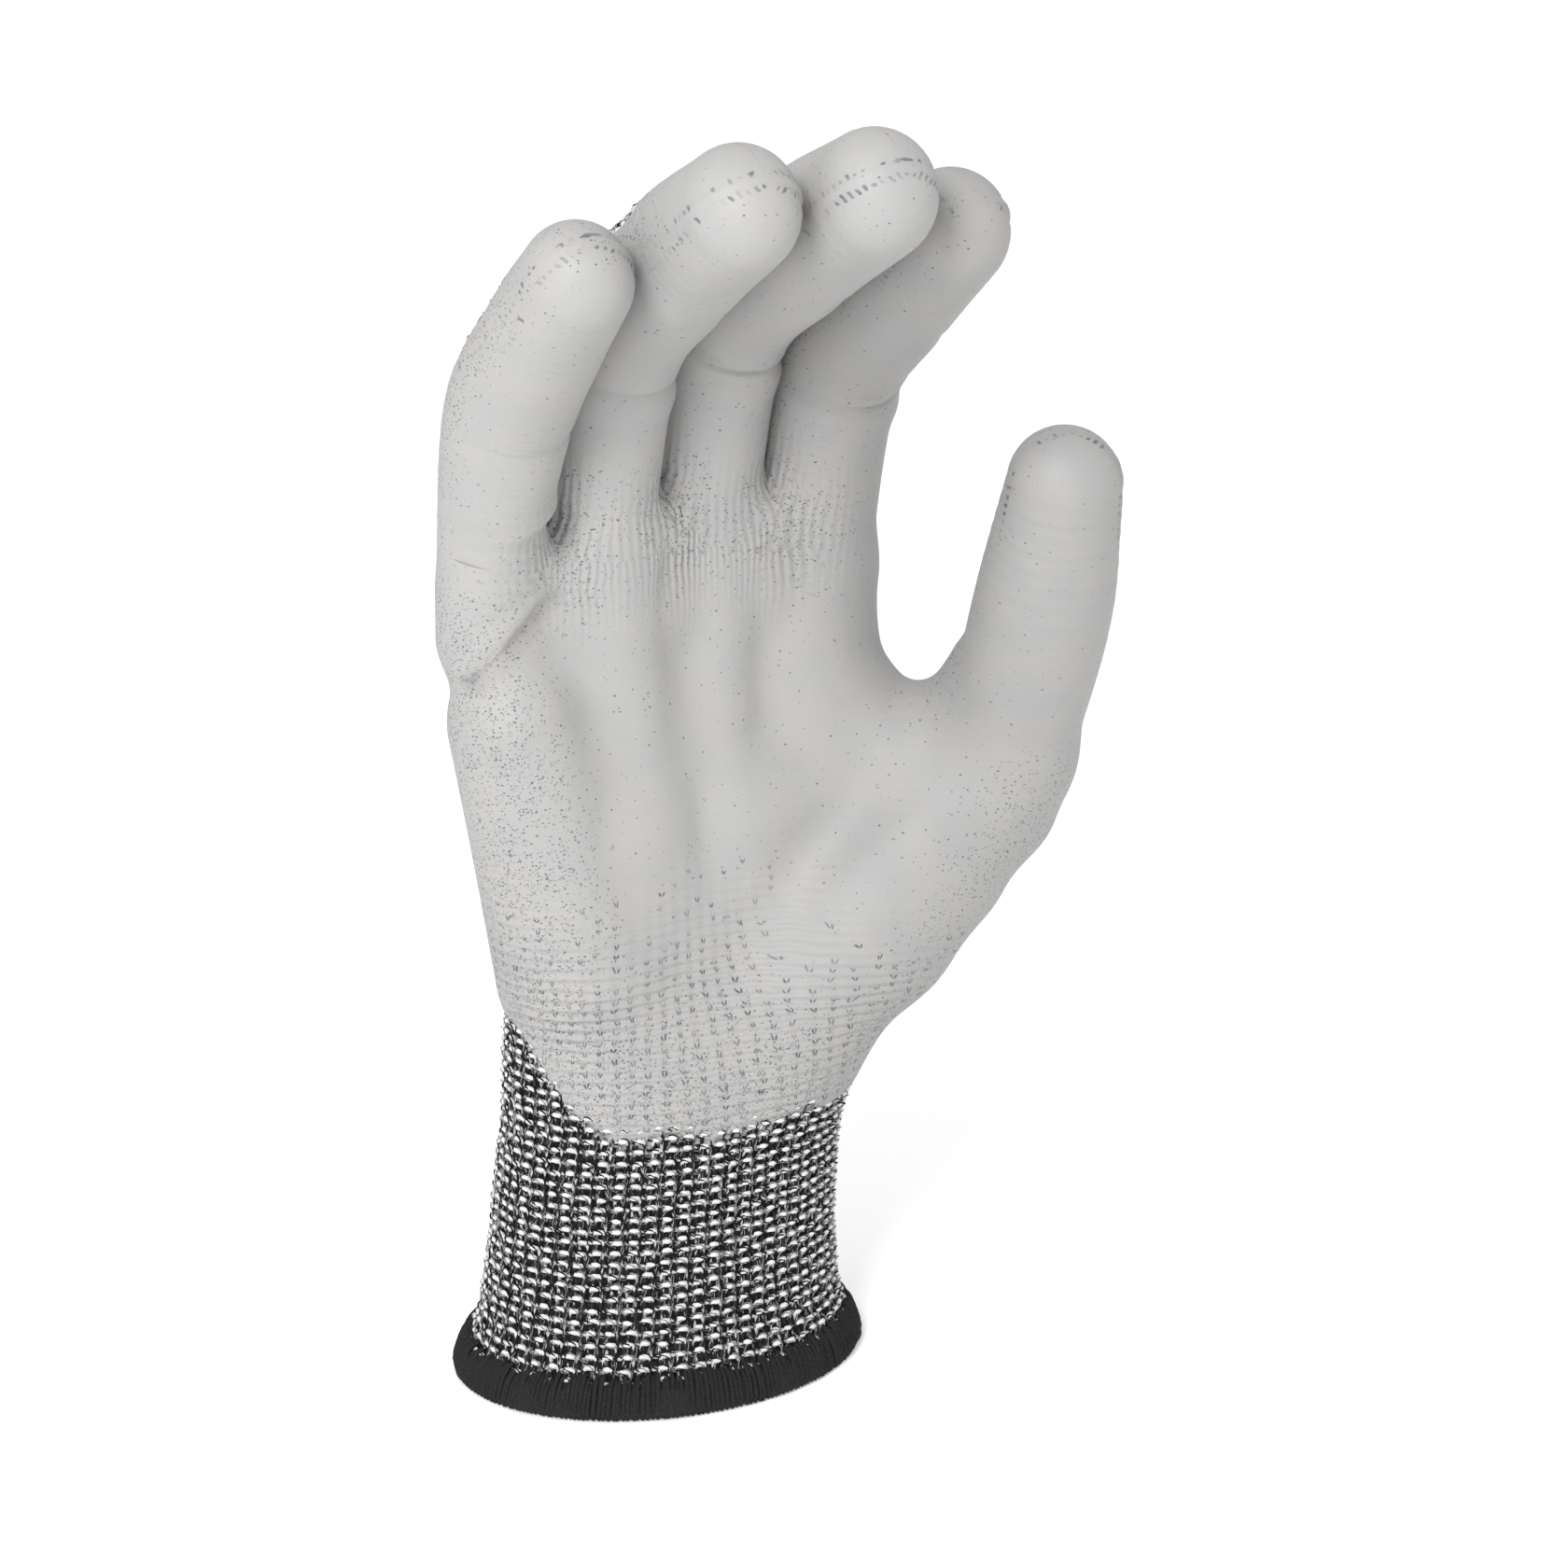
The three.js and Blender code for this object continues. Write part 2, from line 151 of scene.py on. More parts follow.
def melted(p, bars, k, total=None):
    """Distance to round bars melted into one another; a bar is from, to, and the radius at each end."""
    for a, b, ra, rb in bars:
        t, d = along_line(p, a, b)
        bar = d - (ra + t * (rb - ra))
        total = bar if total is None else smooth_min(total, bar, k)
    return total


SPAN_STEPS = 8


def spline(points):
    """Points of a smooth Catmull-Rom curve through the given rows."""
    rows = np.vstack([2 * points[0] - points[1], points, 2 * points[-1] - points[-2]])
    out = []
    for i in range(len(points) - 1):
        p0, p1, p2, p3 = rows[i : i + 4]
        square = 2 * p0 - 5 * p1 + 4 * p2 - p3
        cube = 3 * p1 - p0 - 3 * p2 + p3
        for t in np.arange(SPAN_STEPS) / SPAN_STEPS:
            out.append(0.5 * (2 * p1 + (p2 - p0) * t + square * t * t + cube * t**3))
    out.append(rows[-2])
    return np.array(out)


class Digit:
    """A finger's or the thumb's centre line, with its radius along it."""

    def __init__(self, name):
        self.name = name
        self.is_thumb = name == "thumb"
        self.joints = [f"{name}_{end}_bend" for end in (THUMB_ENDS if self.is_thumb else JOINT_ENDS)]
        centres = [JOINTS[joint] for joint in self.joints]
        if self.is_thumb:
            centres.append(centres[-1] + THUMB_TIP_STEP)
        else:
            low, high = cad_mm(f"{name}_distal_coating")
            tip = DIGIT_RADII[name][3] - 0.3
            forward, up = TIP_SHIFT[name]
            centres.append(np.array([centres[0][0], low[1] + tip + forward, high[2] - tip + up]))
        self.centres = np.array(centres)
        rows = np.column_stack([self.centres, DIGIT_RADII[name]])
        below = rows[0].copy()
        below[:3] -= (rows[1] - rows[0])[:3] * 0.35 if self.is_thumb else np.array([0, -1.0, 12.0])
        line = spline(np.vstack([below, rows]))
        self.line, self.radius = line[:, :3], line[:, 3]
        steps = np.linalg.norm(np.diff(self.line, axis=0), axis=1)
        self.arc = np.concatenate([[0], np.cumsum(steps)])
        self.arc -= self.arc[SPAN_STEPS]  # zero at the first joint
        self.joint_arcs = [self.arc[SPAN_STEPS * (i + 1)] for i in range(len(self.joints))]
        self.length = self.arc[-1]
        self.low, self.high = self.line.min(0) - 30, self.line.max(0) + 30
        pad = THUMB_PAD if self.is_thumb else np.array([0.0, -1.0, 0.0])
        self.pad = pad / np.linalg.norm(pad)

    def at(self, arc):
        """Centre, radius and tangent at an arc length."""
        arc = np.atleast_1d(arc)
        centre, ahead, behind = (
            np.column_stack([np.interp(arc + step, self.arc, column) for column in self.line.T])
            for step in (0.0, 1.5, -1.5)
        )
        return centre, np.interp(arc, self.arc, self.radius), unit(ahead - behind)

    def squeeze(self, p):
        """Points stretched across a finger, so that its oval section measures as a round one."""
        if self.is_thumb:
            return p
        q = p.copy()
        q[:, 0] = self.centres[0][0] + (p[:, 0] - self.centres[0][0]) * FINGER_NARROWING
        return q

    def nearest(self, p):
        """Distance to the skin and arc length of the nearest point of the centre line."""
        near = ((p > self.low) & (p < self.high)).all(1)
        distance = np.full(len(p), 20.0)
        arcs = np.full(len(p), self.arc[0])
        distance[near], arcs[near] = self.nearest_close(self.squeeze(p[near]))
        return distance, arcs

    def nearest_close(self, q):
        """The same, for points already squeezed and close to the digit."""
        best = np.full(len(q), 1e9)
        arc = np.zeros(len(q))
        for i in range(len(self.line) - 1):
            t, d = along_line(q, self.line[i], self.line[i + 1])
            d = d - (self.radius[i] + t * (self.radius[i + 1] - self.radius[i]))
            closer = d < best
            best = np.where(closer, d, best)
            arc = np.where(closer, self.arc[i] + t * (self.arc[i + 1] - self.arc[i]), arc)
        return best, arc

    def field(self, p):
        return self.nearest(p)[0]

    def dorsal(self, arc):
        """The direction away from the pad, square to the centre line."""
        tangent = self.at(arc)[2]
        return unit(-self.pad - (tangent @ -self.pad)[:, None] * tangent)


DIGITS = {name: Digit(name) for name in FINGERS + ("thumb",)}
THUMB = DIGITS["thumb"]

# The cuff's oval: height, centre across, half width and half depth of the knit's outside.
CUFF = np.array(
    [
        [0.0, 0.0, 39.8, 32.0],
        [5.5, 0.0, 38.0, 30.0],
        [12.0, 0.4, 35.9, 27.5],
        [25.0, 1.1, 34.9, 25.0],
        [43.0, 2.8, 34.5, 23.8],
        [62.0, 5.4, 34.0, 22.5],
        [76.0, 6.5, 31.0, 18.0],
    ]
)


def cuff_section(z):
    """Centre across, half width and half depth of the cuff's oval at each height."""
    centre = HEM_CENTRE[0] + np.interp(z, CUFF[:, 0], CUFF[:, 1])
    return centre, np.interp(z, CUFF[:, 0], CUFF[:, 2]), np.interp(z, CUFF[:, 0], CUFF[:, 3])


def cuff_field(p):
    """Distance to the cuff's oval tube, which shrinks away above the wrist."""
    centre, a, b = cuff_section(p[:, 2])
    x, y = p[:, 0] - centre, p[:, 1] - HEM_CENTRE[1]
    size = np.hypot(x / a, y / b) + 1e-9
    radial = np.hypot(x, y)
    side = radial * (1 - 1 / size)
    slope = np.hypot(x / (a * a), y / (b * b)) * radial / size
    wall = side / np.maximum(slope, 1.0)
    return wall + np.maximum(p[:, 2] - 54, 0) ** 2 * 0.02


def place(x, y, z):
    """A point given from the middle of the hem."""
    return np.array([HEM_CENTRE[0] + x, HEM_CENTRE[1] + y, z])


# Round bars that fill the palm: from, to, and the radius at each end. First the ball of the thumb.
THENAR = [
    (place(20, -5, 65), place(37.5, -12, 83.5), 17.6, 17.4),
    (place(37.5, -12, 83.5), place(47, -17, 96), 17.4, 16.2),
    (place(47, -17, 96), place(60, -26, 115.5), 15.8, 12.4),
]
# The web beside the thumb, and the bottom of each gap between the fingers.
WEB = [
    (place(30, -3, 109), place(52, -17, 114), 12.0, 10.5),
    (place(30, 0, 132), place(45, -10, 116), 10.0, 10.5),
    (place(51, -14, 114), place(55.8, -26, 131.5), 8.0, 6.8),
    (place(-23.8, -3, 146), place(-23.8, -4, 155.5), 6.0, 6.0),
    (place(-1.4, -2, 148), place(-1.4, -4, 161.5), 6.0, 6.0),
    (place(21.6, -2, 148), place(21.6, -4, 160.5), 6.0, 6.0),
]
# The bar from the wrist to each knuckle: how far across the hand it starts, and its radius at each end.
METACARPAL_FOOT = {"little": -14.0, "ring": -3.0, "middle": 8.0, "index": 20.0}
METACARPAL_RADII = {
    "little": (15.0, 6.0),
    "ring": (15.0, 13.2),
    "middle": (15.5, 13.6),
    "index": (14.0, 12.8),
}
# The pad on the little finger's side, and the back of the wrist.
HYPOTHENAR = (place(-17, -3, 80), place(-29.5, -4, 127), 13.8, 12.0)
WRIST_BACK = [
    (place(-4, 6.3, 60), place(-9, -0.8, 106), 15.2, 14.4),
    (place(18, 5.5, 60), place(15, -0.6, 106), 15.4, 14.8),
]


def palm_field(p):
    """Distance to the cuff, the wrist and the hand without its digits."""
    rays = [HYPOTHENAR]
    for name in FINGERS:
        foot = place(METACARPAL_FOOT[name], 0, 70)
        top = DIGITS[name].centres[0] + np.array([0, -0.3, -3.0])
        rays.append((foot, top, *METACARPAL_RADII[name]))
    hand = melted(p, WRIST_BACK, 5.0, melted(p, rays, 7.0))
    palm = smooth_min(smooth_min(hand, melted(p, WEB, 6.0), 9.0), melted(p, THENAR, 5.0), 7.0)
    return smooth_min(palm, cuff_field(p), 12.0)


def digit_field(name):
    """The palm with only one digit."""
    digit = DIGITS[name]
    return lambda p: smooth_min(palm_field(p), digit.field(p), ROOT_BLEND)


def hand_field(p):
    """The palm with all its digits."""
    digits = np.min([digit.field(p) for digit in DIGITS.values()], axis=0)
    return smooth_min(palm_field(p), digits, ROOT_BLEND)


def gradient(field, p, step=0.25):
    g = np.empty_like(p)
    for axis in range(3):
        shift = np.zeros(3)
        shift[axis] = step
        g[:, axis] = field(p + shift) - field(p - shift)
    return g / (2 * step)


def settle(field, p, rounds=1):
    """Moves points onto the field's zero surface, and returns them with its normals there."""
    for _ in range(rounds):
        g = gradient(field, p)
        p = p - (field(p) / np.maximum((g * g).sum(1), 0.05))[:, None] * g
    return p, unit(gradient(field, p))


# ---- coat edge and knit coordinates


def from_hem(p):
    """Across, depth and height of each point from the middle of the hem."""
    return p[:, 0] - HEM_CENTRE[0], p[:, 1] - HEM_CENTRE[1], p[:, 2]


def below_joint(p, digit, foot):
    """The nearest point of the line from a foot to a digit's first joint, and the distance to it."""
    t, distance = along_line(p, foot, digit.centres[0])
    return foot + t[:, None] * (digit.centres[0] - foot), distance


def finger_edge(p, digit):
    """How far inside the coat a finger's skin and the palm under it are, and how near they are."""
    distance, arc = digit.nearest(p)
    under, palm_distance = below_joint(p, digit, place(METACARPAL_FOOT[digit.name], 0, 60))
    depth = ((p - digit.at(arc)[0]) * digit.dorsal(arc)).sum(1)
    in_palm = smoothstep(arc, 14.0, 0.0)
    depth = depth * (1 - in_palm) + (p - under)[:, 1] * in_palm
    edge = np.maximum(7.2 - depth, arc - (digit.joint_arcs[2] + 5.0))
    return edge, np.minimum(distance, palm_distance - 13.0)


def thumb_edge(p):
    """The same for the thumb, rising away from it so that it rules only its own side."""
    distance, arc = THUMB.nearest(p)
    under, palm_distance = below_joint(p, THUMB, place(18, -2, 62))
    centre = np.where((arc < 1.0)[:, None], under, THUMB.at(arc)[0])
    depth = ((p - centre) * THUMB.dorsal(arc)).sum(1)
    edge = np.maximum(7.5 - depth, arc - (THUMB.joint_arcs[1] + 8.0))
    return edge + np.maximum(np.minimum(distance, palm_distance - 15.0) - 1.5, 0) * 2.5


def coat_edge(p):
    """How far inside the coat's edge each point is, in millimetres: negative on the bare knit."""
    edges, reaches = np.array([finger_edge(p, DIGITS[name]) for name in FINGERS]).transpose(1, 0, 2)
    fingers = np.take_along_axis(edges, reaches.argmin(0)[None], 0)[0]
    x, y, z = from_hem(p)
    ragged = 1.1 * np.sin(x * 0.21 + 1.0) + 0.8 * np.sin(x * 0.47 + y * 0.2) + 0.5 * np.sin(x * 1.05 + 2.0)
    wrist = z - 52.5 - 20 * smoothstep(y - 0.1 * x, -18, 3) + 0.6 * ragged
    side = 0.5 * np.sin(z * 0.31) + 0.35 * np.sin(z * 0.83 + x * 0.3)
    return np.minimum(np.minimum(fingers, thumb_edge(p)) + side, wrist)


# ---- mesh building


def surface_nets(field, low, high, cell):
    """A quad mesh of the field's zero surface inside a box: corner rows and quads."""
    counts = np.ceil((high - low) / cell).astype(int) + 1
    axes = [low[i] + cell * np.arange(counts[i]) for i in range(3)]
    grid = np.stack(np.meshgrid(*axes, indexing="ij"), -1)
    values = np.empty(tuple(counts))
    for i in range(counts[0]):
        values[i] = field(grid[i].reshape(-1, 3)).reshape(counts[1], counts[2])
    inside = values < 0
    total = np.zeros(tuple(counts - 1) + (3,))
    hits = np.zeros(tuple(counts - 1))
    corner = np.array([[a, b, c] for a in (0, 1) for b in (0, 1) for c in (0, 1)])
    n = counts - 1

    def part(array, offset):
        return array[offset[0] : offset[0] + n[0], offset[1] : offset[1] + n[1], offset[2] : offset[2] + n[2]]

    for a in corner:
        for axis in range(3):
            if a[axis]:
                continue
            b = a.copy()
            b[axis] = 1
            va, vb = part(values, a), part(values, b)
            crossing = part(inside, a) != part(inside, b)
            t = np.where(crossing, va / np.where(crossing, va - vb, 1), 0)
            where = np.broadcast_to(a, crossing.shape + (3,)).astype(float).copy()
            where[..., axis] += t
            total += where * crossing[..., None]
            hits += crossing
    used = hits > 0
    index = -np.ones(used.shape, int)
    index[used] = np.arange(used.sum())
    cells = np.argwhere(used)
    rows = low + cell * (cells + total[used] / hits[used][:, None])
    quads = []
    for axis in range(3):
        u, v = (axis + 1) % 3, (axis + 2) % 3
        a = [slice(1, n[i]) for i in range(3)]
        a[axis] = slice(0, n[axis])
        first = inside[tuple(slice(s.start, s.stop) for s in a)]
        shifted = list(a)
        shifted[axis] = slice(1, n[axis] + 1)
        second = inside[tuple(shifted)]
        edges = np.argwhere(first != second)
        lower = first[first != second]
        base = edges + np.array([s.start for s in a])
        ring = []
        for du, dv in ((-1, -1), (0, -1), (0, 0), (-1, 0)):
            at = base.copy()
            at[:, u] += du
            at[:, v] += dv
            ring.append(index[at[:, 0], at[:, 1], at[:, 2]])
        ring = np.stack(ring, 1)
        ring[~lower] = ring[~lower][:, ::-1]
        quads.append(ring)
    return rows, np.vstack(quads)


def refine(rows, quads):
    """Splits every quad in four."""
    edges = np.sort(np.stack([quads, np.roll(quads, -1, 1)], -1).reshape(-1, 2), 1)
    unique, where = np.unique(edges, axis=0, return_inverse=True)
    middles = rows[unique].mean(1)
    faces = rows[quads].mean(1)
    e = len(rows) + where.reshape(-1, 4)
    f = len(rows) + len(unique) + np.arange(len(quads))
    new = [np.stack([quads[:, i], e[:, i], f, e[:, i - 1]], 1) for i in range(4)]
    return np.vstack([rows, middles, faces]), np.vstack(new)


def keep_faces(faces, keep):
    """The rows that the chosen faces use, and those faces renumbered to them."""
    faces = faces[keep]
    used, renumbered = np.unique(faces, return_inverse=True)
    return used, renumbered.reshape(faces.shape)


def make_mesh(name, rows_mm, faces, material, values=None, normals=None):
    """A mesh object from rows in millimetres, with point values that materials can read."""
    mesh = bpy.data.meshes.new(name)
    mesh.vertices.add(len(rows_mm))
    mesh.vertices.foreach_set("co", (rows_mm * MM).astype(np.float32).ravel())
    sides = faces.shape[1]
    mesh.loops.add(faces.size)
    mesh.loops.foreach_set("vertex_index", faces.astype(np.int32).ravel())
    mesh.polygons.add(len(faces))
    mesh.polygons.foreach_set("loop_start", np.arange(0, faces.size, sides, dtype=np.int32))
    mesh.polygons.foreach_set("loop_total", np.full(len(faces), sides, np.int32))
    mesh.update(calc_edges=True)
    mesh.validate()
    mesh.polygons.foreach_set("use_smooth", np.ones(len(mesh.polygons), bool))
    rest = mesh.attributes.new("rest", "FLOAT_VECTOR", "POINT")
    rest.data.foreach_set("vector", (rows_mm * MM).astype(np.float32).ravel())
    for key, data in (values or {}).items():
        attribute = mesh.attributes.new(key, "FLOAT", "POINT")
        attribute.data.foreach_set("value", np.asarray(data, np.float32))
    if normals is not None:
        mesh.normals_split_custom_set_from_vertices(normals.astype(np.float32))
    obj = bpy.data.objects.new(name, mesh)
    bpy.context.scene.collection.objects.link(obj)
    mesh.materials.append(material)
    return obj


def grid_faces(rings, around):
    """Quads between the rings of a tube."""
    i = np.arange(rings - 1)[:, None] * around
    j = np.arange(around)[None, :]
    k = (j + 1) % around
    return np.stack([i + j, i + around + j, i + around + k, i + k], -1).reshape(-1, 4)


# ---- materials


class Value:
    """Something a material works out at each point, which can stand in sums."""

    def __init__(self, shader, socket):
        self.shader = shader
        self.socket = socket

    def maths(self, operation, *others):
        return self.shader.maths(operation, self, *others)

    def __add__(self, other):
        return self.maths("ADD", other)

    def __radd__(self, number):
        return self.shader.maths("ADD", number, self)

    def __sub__(self, number):
        return self.maths("ADD", -number)

    def __mul__(self, other):
        return self.maths("MULTIPLY", other)

    def __truediv__(self, other):
        return self.maths("DIVIDE", other)

    def __pow__(self, power):
        return self.maths("POWER", power)

    def __lt__(self, other):
        return self.maths("LESS_THAN", other)

    def size(self):
        return self.maths("ABSOLUTE")

    def sine(self):
        return self.maths("SINE")

    def whole(self):
        return self.maths("FLOOR")

    def fraction(self):
        return self.maths("FRACT")

    def off_middle(self):
        """Distance from the middle of each whole step: 0 in the middle, 0.5 at its ends."""
        return (self.fraction() - 0.5).size()

    def redraw(self, factor):
        """Another random value between 0 and 1, from one that is random already."""
        return (self * factor).fraction()


class Shader:
    """A procedural material, built from short calls."""

    def __init__(self, name, roughness):
        self.material = bpy.data.materials.new(name)
        self.material.use_nodes = True
        self.tree = self.material.node_tree
        self.surface = self.tree.nodes["Principled BSDF"]
        self.surface.inputs["Roughness"].default_value = roughness

    def feed(self, socket, value):
        if isinstance(value, Value):
            self.tree.links.new(value.socket, socket)
        elif isinstance(value, tuple) and len(value) < len(socket.default_value):
            socket.default_value = (*value, 1.0)
        else:
            socket.default_value = value

    def node(self, kind, *values, output=0, **settings):
        """A node with its first inputs filled in; the result is one of its outputs."""
        made = self.tree.nodes.new(kind)
        for key, value in settings.items():
            setattr(made, key, value)
        for socket, value in zip(made.inputs, values):
            self.feed(socket, value)
        return Value(self, made.outputs[output])

    def maths(self, operation, *values):
        return self.node("ShaderNodeMath", *values, operation=operation)

    def highest(self, a, b):
        return self.maths("MAXIMUM", a, b)

    def step(self, value, low, high, start=0.0, end=1.0):
        """Smooth change from start to end while value goes from low to high."""
        return self.node("ShaderNodeMapRange", value, low, high, start, end, interpolation_type="SMOOTHSTEP")

    def value(self, name):
        """A point value of the mesh."""
        return self.node("ShaderNodeAttribute", output="Fac", attribute_name=name)

    def rest(self):
        """The point's place on the unbent glove, in metres."""
        return self.node("ShaderNodeAttribute", output="Vector", attribute_name="rest")

    def noise(self, scale, detail=2.0):
        made = self.node("ShaderNodeTexNoise", self.rest())
        inputs = made.socket.node.inputs
        inputs["Scale"].default_value = scale
        inputs["Detail"].default_value = detail
        return made

    def random(self, vector):
        return self.node("ShaderNodeTexWhiteNoise", vector, output="Value", noise_dimensions="3D")

    def mix(self, factor, a, b):
        made = self.tree.nodes.new("ShaderNodeMix")
        made.data_type = "RGBA"
        for socket, value in ((made.inputs["Factor"], factor), (made.inputs[6], a), (made.inputs[7], b)):
            self.feed(socket, value)
        return Value(self, made.outputs[2])

    def matt(self):
        """Turns the highlight down, for fibres that scatter light."""
        self.surface.inputs["Specular IOR Level"].default_value = 0.15

    def colour(self, value):
        self.feed(self.surface.inputs["Base Color"], value)

    def bump(self, height, distance):
        made = self.tree.nodes.new("ShaderNodeBump")
        made.inputs["Distance"].default_value = distance
        self.feed(made.inputs["Height"], height)
        self.tree.links.new(made.outputs[0], self.surface.inputs["Normal"])


# Colours, how much darker the coat is painted on the thumb's side as painted shade, and how closely the
# flecks lie each way.
COAT_COLOUR = (0.335, 0.333, 0.331)
COAT_WARM = (0.352, 0.346, 0.34)
THUMB_SIDE_PAINTED_SHADE = 0.87
SPECK_COLOUR = (0.06, 0.065, 0.07)
YARN_COLOUR = (0.74, 0.74, 0.735)
YARN_BLACK = (0.008, 0.008, 0.009)
# The near black sheet under the bare loops is painted shade for the dark gaps between them.
PAINTED_GAP_SHADE = (0.007, 0.007, 0.0075)
HEM_COLOUR = (0.015, 0.015, 0.0155)
FLECKS_PER_METRE = (1600.0, 1600.0, 2300.0)


def scaled(colour, factor):
    return tuple(channel * factor for channel in colour)


def fine_flecks(s):
    """Short flat flecks at random places, as many as the piece's density says."""
    stretched = s.node("ShaderNodeVectorMath", s.rest(), FLECKS_PER_METRE, operation="MULTIPLY")
    distance = s.node("ShaderNodeTexVoronoi", stretched, voronoi_dimensions="3D")
    cells = distance.socket.node
    cells.inputs["Scale"].default_value = 1.0
    chance = s.random(Value(s, cells.outputs["Color"]))
    density = s.value("specks") * s.step(s.noise(70.0), 0.3, 0.65, 0.8, 1.9)
    size = 0.2 + chance.redraw(37.0) * 0.26
    fleck = s.step(distance / size, 0.5, 1.2, 1.0, 0.0)
    return fleck * (chance < density) * s.step(chance.redraw(91.0), 0.0, 1.0, 0.35, 0.85)


def stitch_flecks(s, u, v):
    """Pairs of slanted marks, one pair to each stitch, where the coat lies thin over the lower palm."""
    u = u + (s.noise(210.0, 1.0) - 0.5) * 0.9
    v = v + (s.noise(330.0, 1.0) - 0.5) * 0.8
    chance = s.random(s.node("ShaderNodeCombineXYZ", u.whole(), v.whole()))
    across = u.fraction() - 0.5
    up = v.fraction() + (-0.3 + chance * -0.3)
    marks = 0.0
    for middle, lean in ((-0.07, 0.22), (0.1, -0.2)):
        line = across - middle + up * lean
        far = ((line * 18.0) ** 2.0 + (up * 3.9) ** 2.0).maths("SQRT")
        marks = s.highest(marks, s.step(far, 0.5, 1.1, 1.0, 0.0))
    shown = chance.redraw(13.0) < s.value("stitches")
    return marks * shown * (0.45 + chance * 0.55)


def tip_stitches(s):
    """Two rows of dark dashes beside the closing seam over each fingertip."""
    seam = s.value("seam")
    lump = s.noise(430.0, 1.0)
    band = s.step((seam.size() - 1.45).size() + (lump - 0.5) * 2.2, 0.2, 0.6, 1.0, 0.0)
    run = s.value("seam_run") + (seam * 0.3 + lump * 0.8)
    dash = s.step(run.off_middle(), 0.12, 0.3, 1.0, 0.0)
    chance = s.random(s.node("ShaderNodeCombineXYZ", run.whole(), seam.maths("SIGN")))
    return band * dash * s.step(chance, 0.25, 0.35) * s.value("seam_share")


def coat_material():
    """Matt coat: soft mottling, painted shade on the thumb's side, the knit's rows faintly raised, and flecks
    of dark yarn under it.
    """
    s = Shader("polyurethane_coat", 0.58)
    u, v = s.value("knit_u"), s.value("knit_v")
    tips = tip_stitches(s) * s.step(s.noise(240.0), 0.35, 0.65, 0.25, 0.8)
    dark = s.highest(s.highest(fine_flecks(s), stitch_flecks(s, u, v)), tips)
    mottle = s.noise(90.0, 4.0)
    across = s.node("ShaderNodeSeparateXYZ", s.rest(), output="X")
    # Painted shade: the coat's colour is dimmed towards the thumb's side, standing in for the shade that side
    # gets.
    thumb_side = s.step(across, place(6, 0, 0)[0] * MM, place(40, 0, 0)[0] * MM)
    plain = s.mix(thumb_side, COAT_COLOUR, scaled(COAT_COLOUR, THUMB_SIDE_PAINTED_SHADE))
    warm = s.mix(thumb_side, COAT_WARM, scaled(COAT_WARM, THUMB_SIDE_PAINTED_SHADE))
    base = s.mix(s.step(mottle, 0.35, 0.65), plain, warm)
    s.colour(s.mix(dark, base, SPECK_COLOUR))
    rise = s.noise(160.0)
    rows = ((v + rise * 0.5) * (2 * math.pi)).sine()
    knobs = (u * (2 * math.pi)).sine()
    ribs = ((u + rise * 0.6) * (4 * math.pi)).sine()
    knit = (rows + knobs * 0.35) * (0.06 + s.value("stitches") * 1.1)
    knit = knit + (ribs + rows * 0.5) * s.value("ribs") * 0.9
    lumps = s.noise(1100.0) * (s.value("specks") * 0.9)
    s.bump(knit * 0.8 + s.noise(2600.0) * 0.1 + (dark * -0.5 + lumps) + mottle * 0.7, 0.0002)
    return s.material


def yarn_material():
    """Light yarn twisted with thin black filaments, which show most on the loops' legs, with painted shade
    darkening each loop from its head down to its foot.
    """
    s = Shader("knit_yarn", 0.85)
    s.surface.inputs["Sheen Weight"].default_value = 0.1
    head = s.value("yarn_head")
    along = s.value("yarn_run") * 4.3 + s.value("yarn_turn")
    legs = s.step(head.size(), 0.25, 0.92, 0.34, 0.0)
    foot = s.step(head, 0.2, -0.8, 0.0, 0.2)
    width = (legs + foot) * s.step(s.noise(420.0), 0.3, 0.7, 0.6, 1.4)
    black = s.step(along.off_middle(), width - 0.03, width + 0.05, 1.0, 0.0)
    fuzz = s.noise(5200.0, 3.0)
    light = s.mix(s.step(fuzz, 0.3, 0.7), scaled(YARN_COLOUR, 0.8), YARN_COLOUR)
    # Painted shade: the yarn is darker down the legs and feet of each loop than on its head.
    low = s.mix(s.step(head, -0.4, 0.7), scaled(YARN_COLOUR, 0.62), light)
    s.colour(s.mix(black, low, YARN_BLACK))
    s.bump((along * 2.0).off_middle() * -1.2 + fuzz * 0.6, 0.00014)
    return s.material


def filament_material():
    """Thin single filaments: half of them black, half light grey."""
    s = Shader("knit_filament", 0.8)
    s.matt()
    fuzz = s.noise(3000.0)
    grey = s.mix(s.step(fuzz, 0.35, 0.65), (0.12, 0.12, 0.12), (0.34, 0.34, 0.34))
    s.colour(s.mix(s.value("shade"), YARN_BLACK, grey))
    s.bump(fuzz, 0.0001)
    return s.material


def elastic_material():
    """Covered elastic: a fine wrapped thread."""
    s = Shader("elastic_thread", 0.75)
    wrap = (s.value("yarn_run") * 40.0).sine()
    s.colour(s.mix(s.step(wrap, -1.0, 1.0), (0.02, 0.02, 0.021), (0.05, 0.05, 0.051)))
    s.bump(wrap, 0.0001)
    return s.material


def shade_liner_material():
    """A near black sheet of painted shade, seen between the loops where the knit's inside lies in shade."""
    s = Shader("knit_inside", 0.95)
    s.matt()
    mottle = s.noise(900.0, 3.0)
    # Painted shade: near black, faintly mottled, for the gaps between the loops.
    s.colour(s.mix(s.step(mottle, 0.4, 0.75), PAINTED_GAP_SHADE, scaled(PAINTED_GAP_SHADE, 3.2)))
    s.bump(mottle, 0.0004)
    return s.material


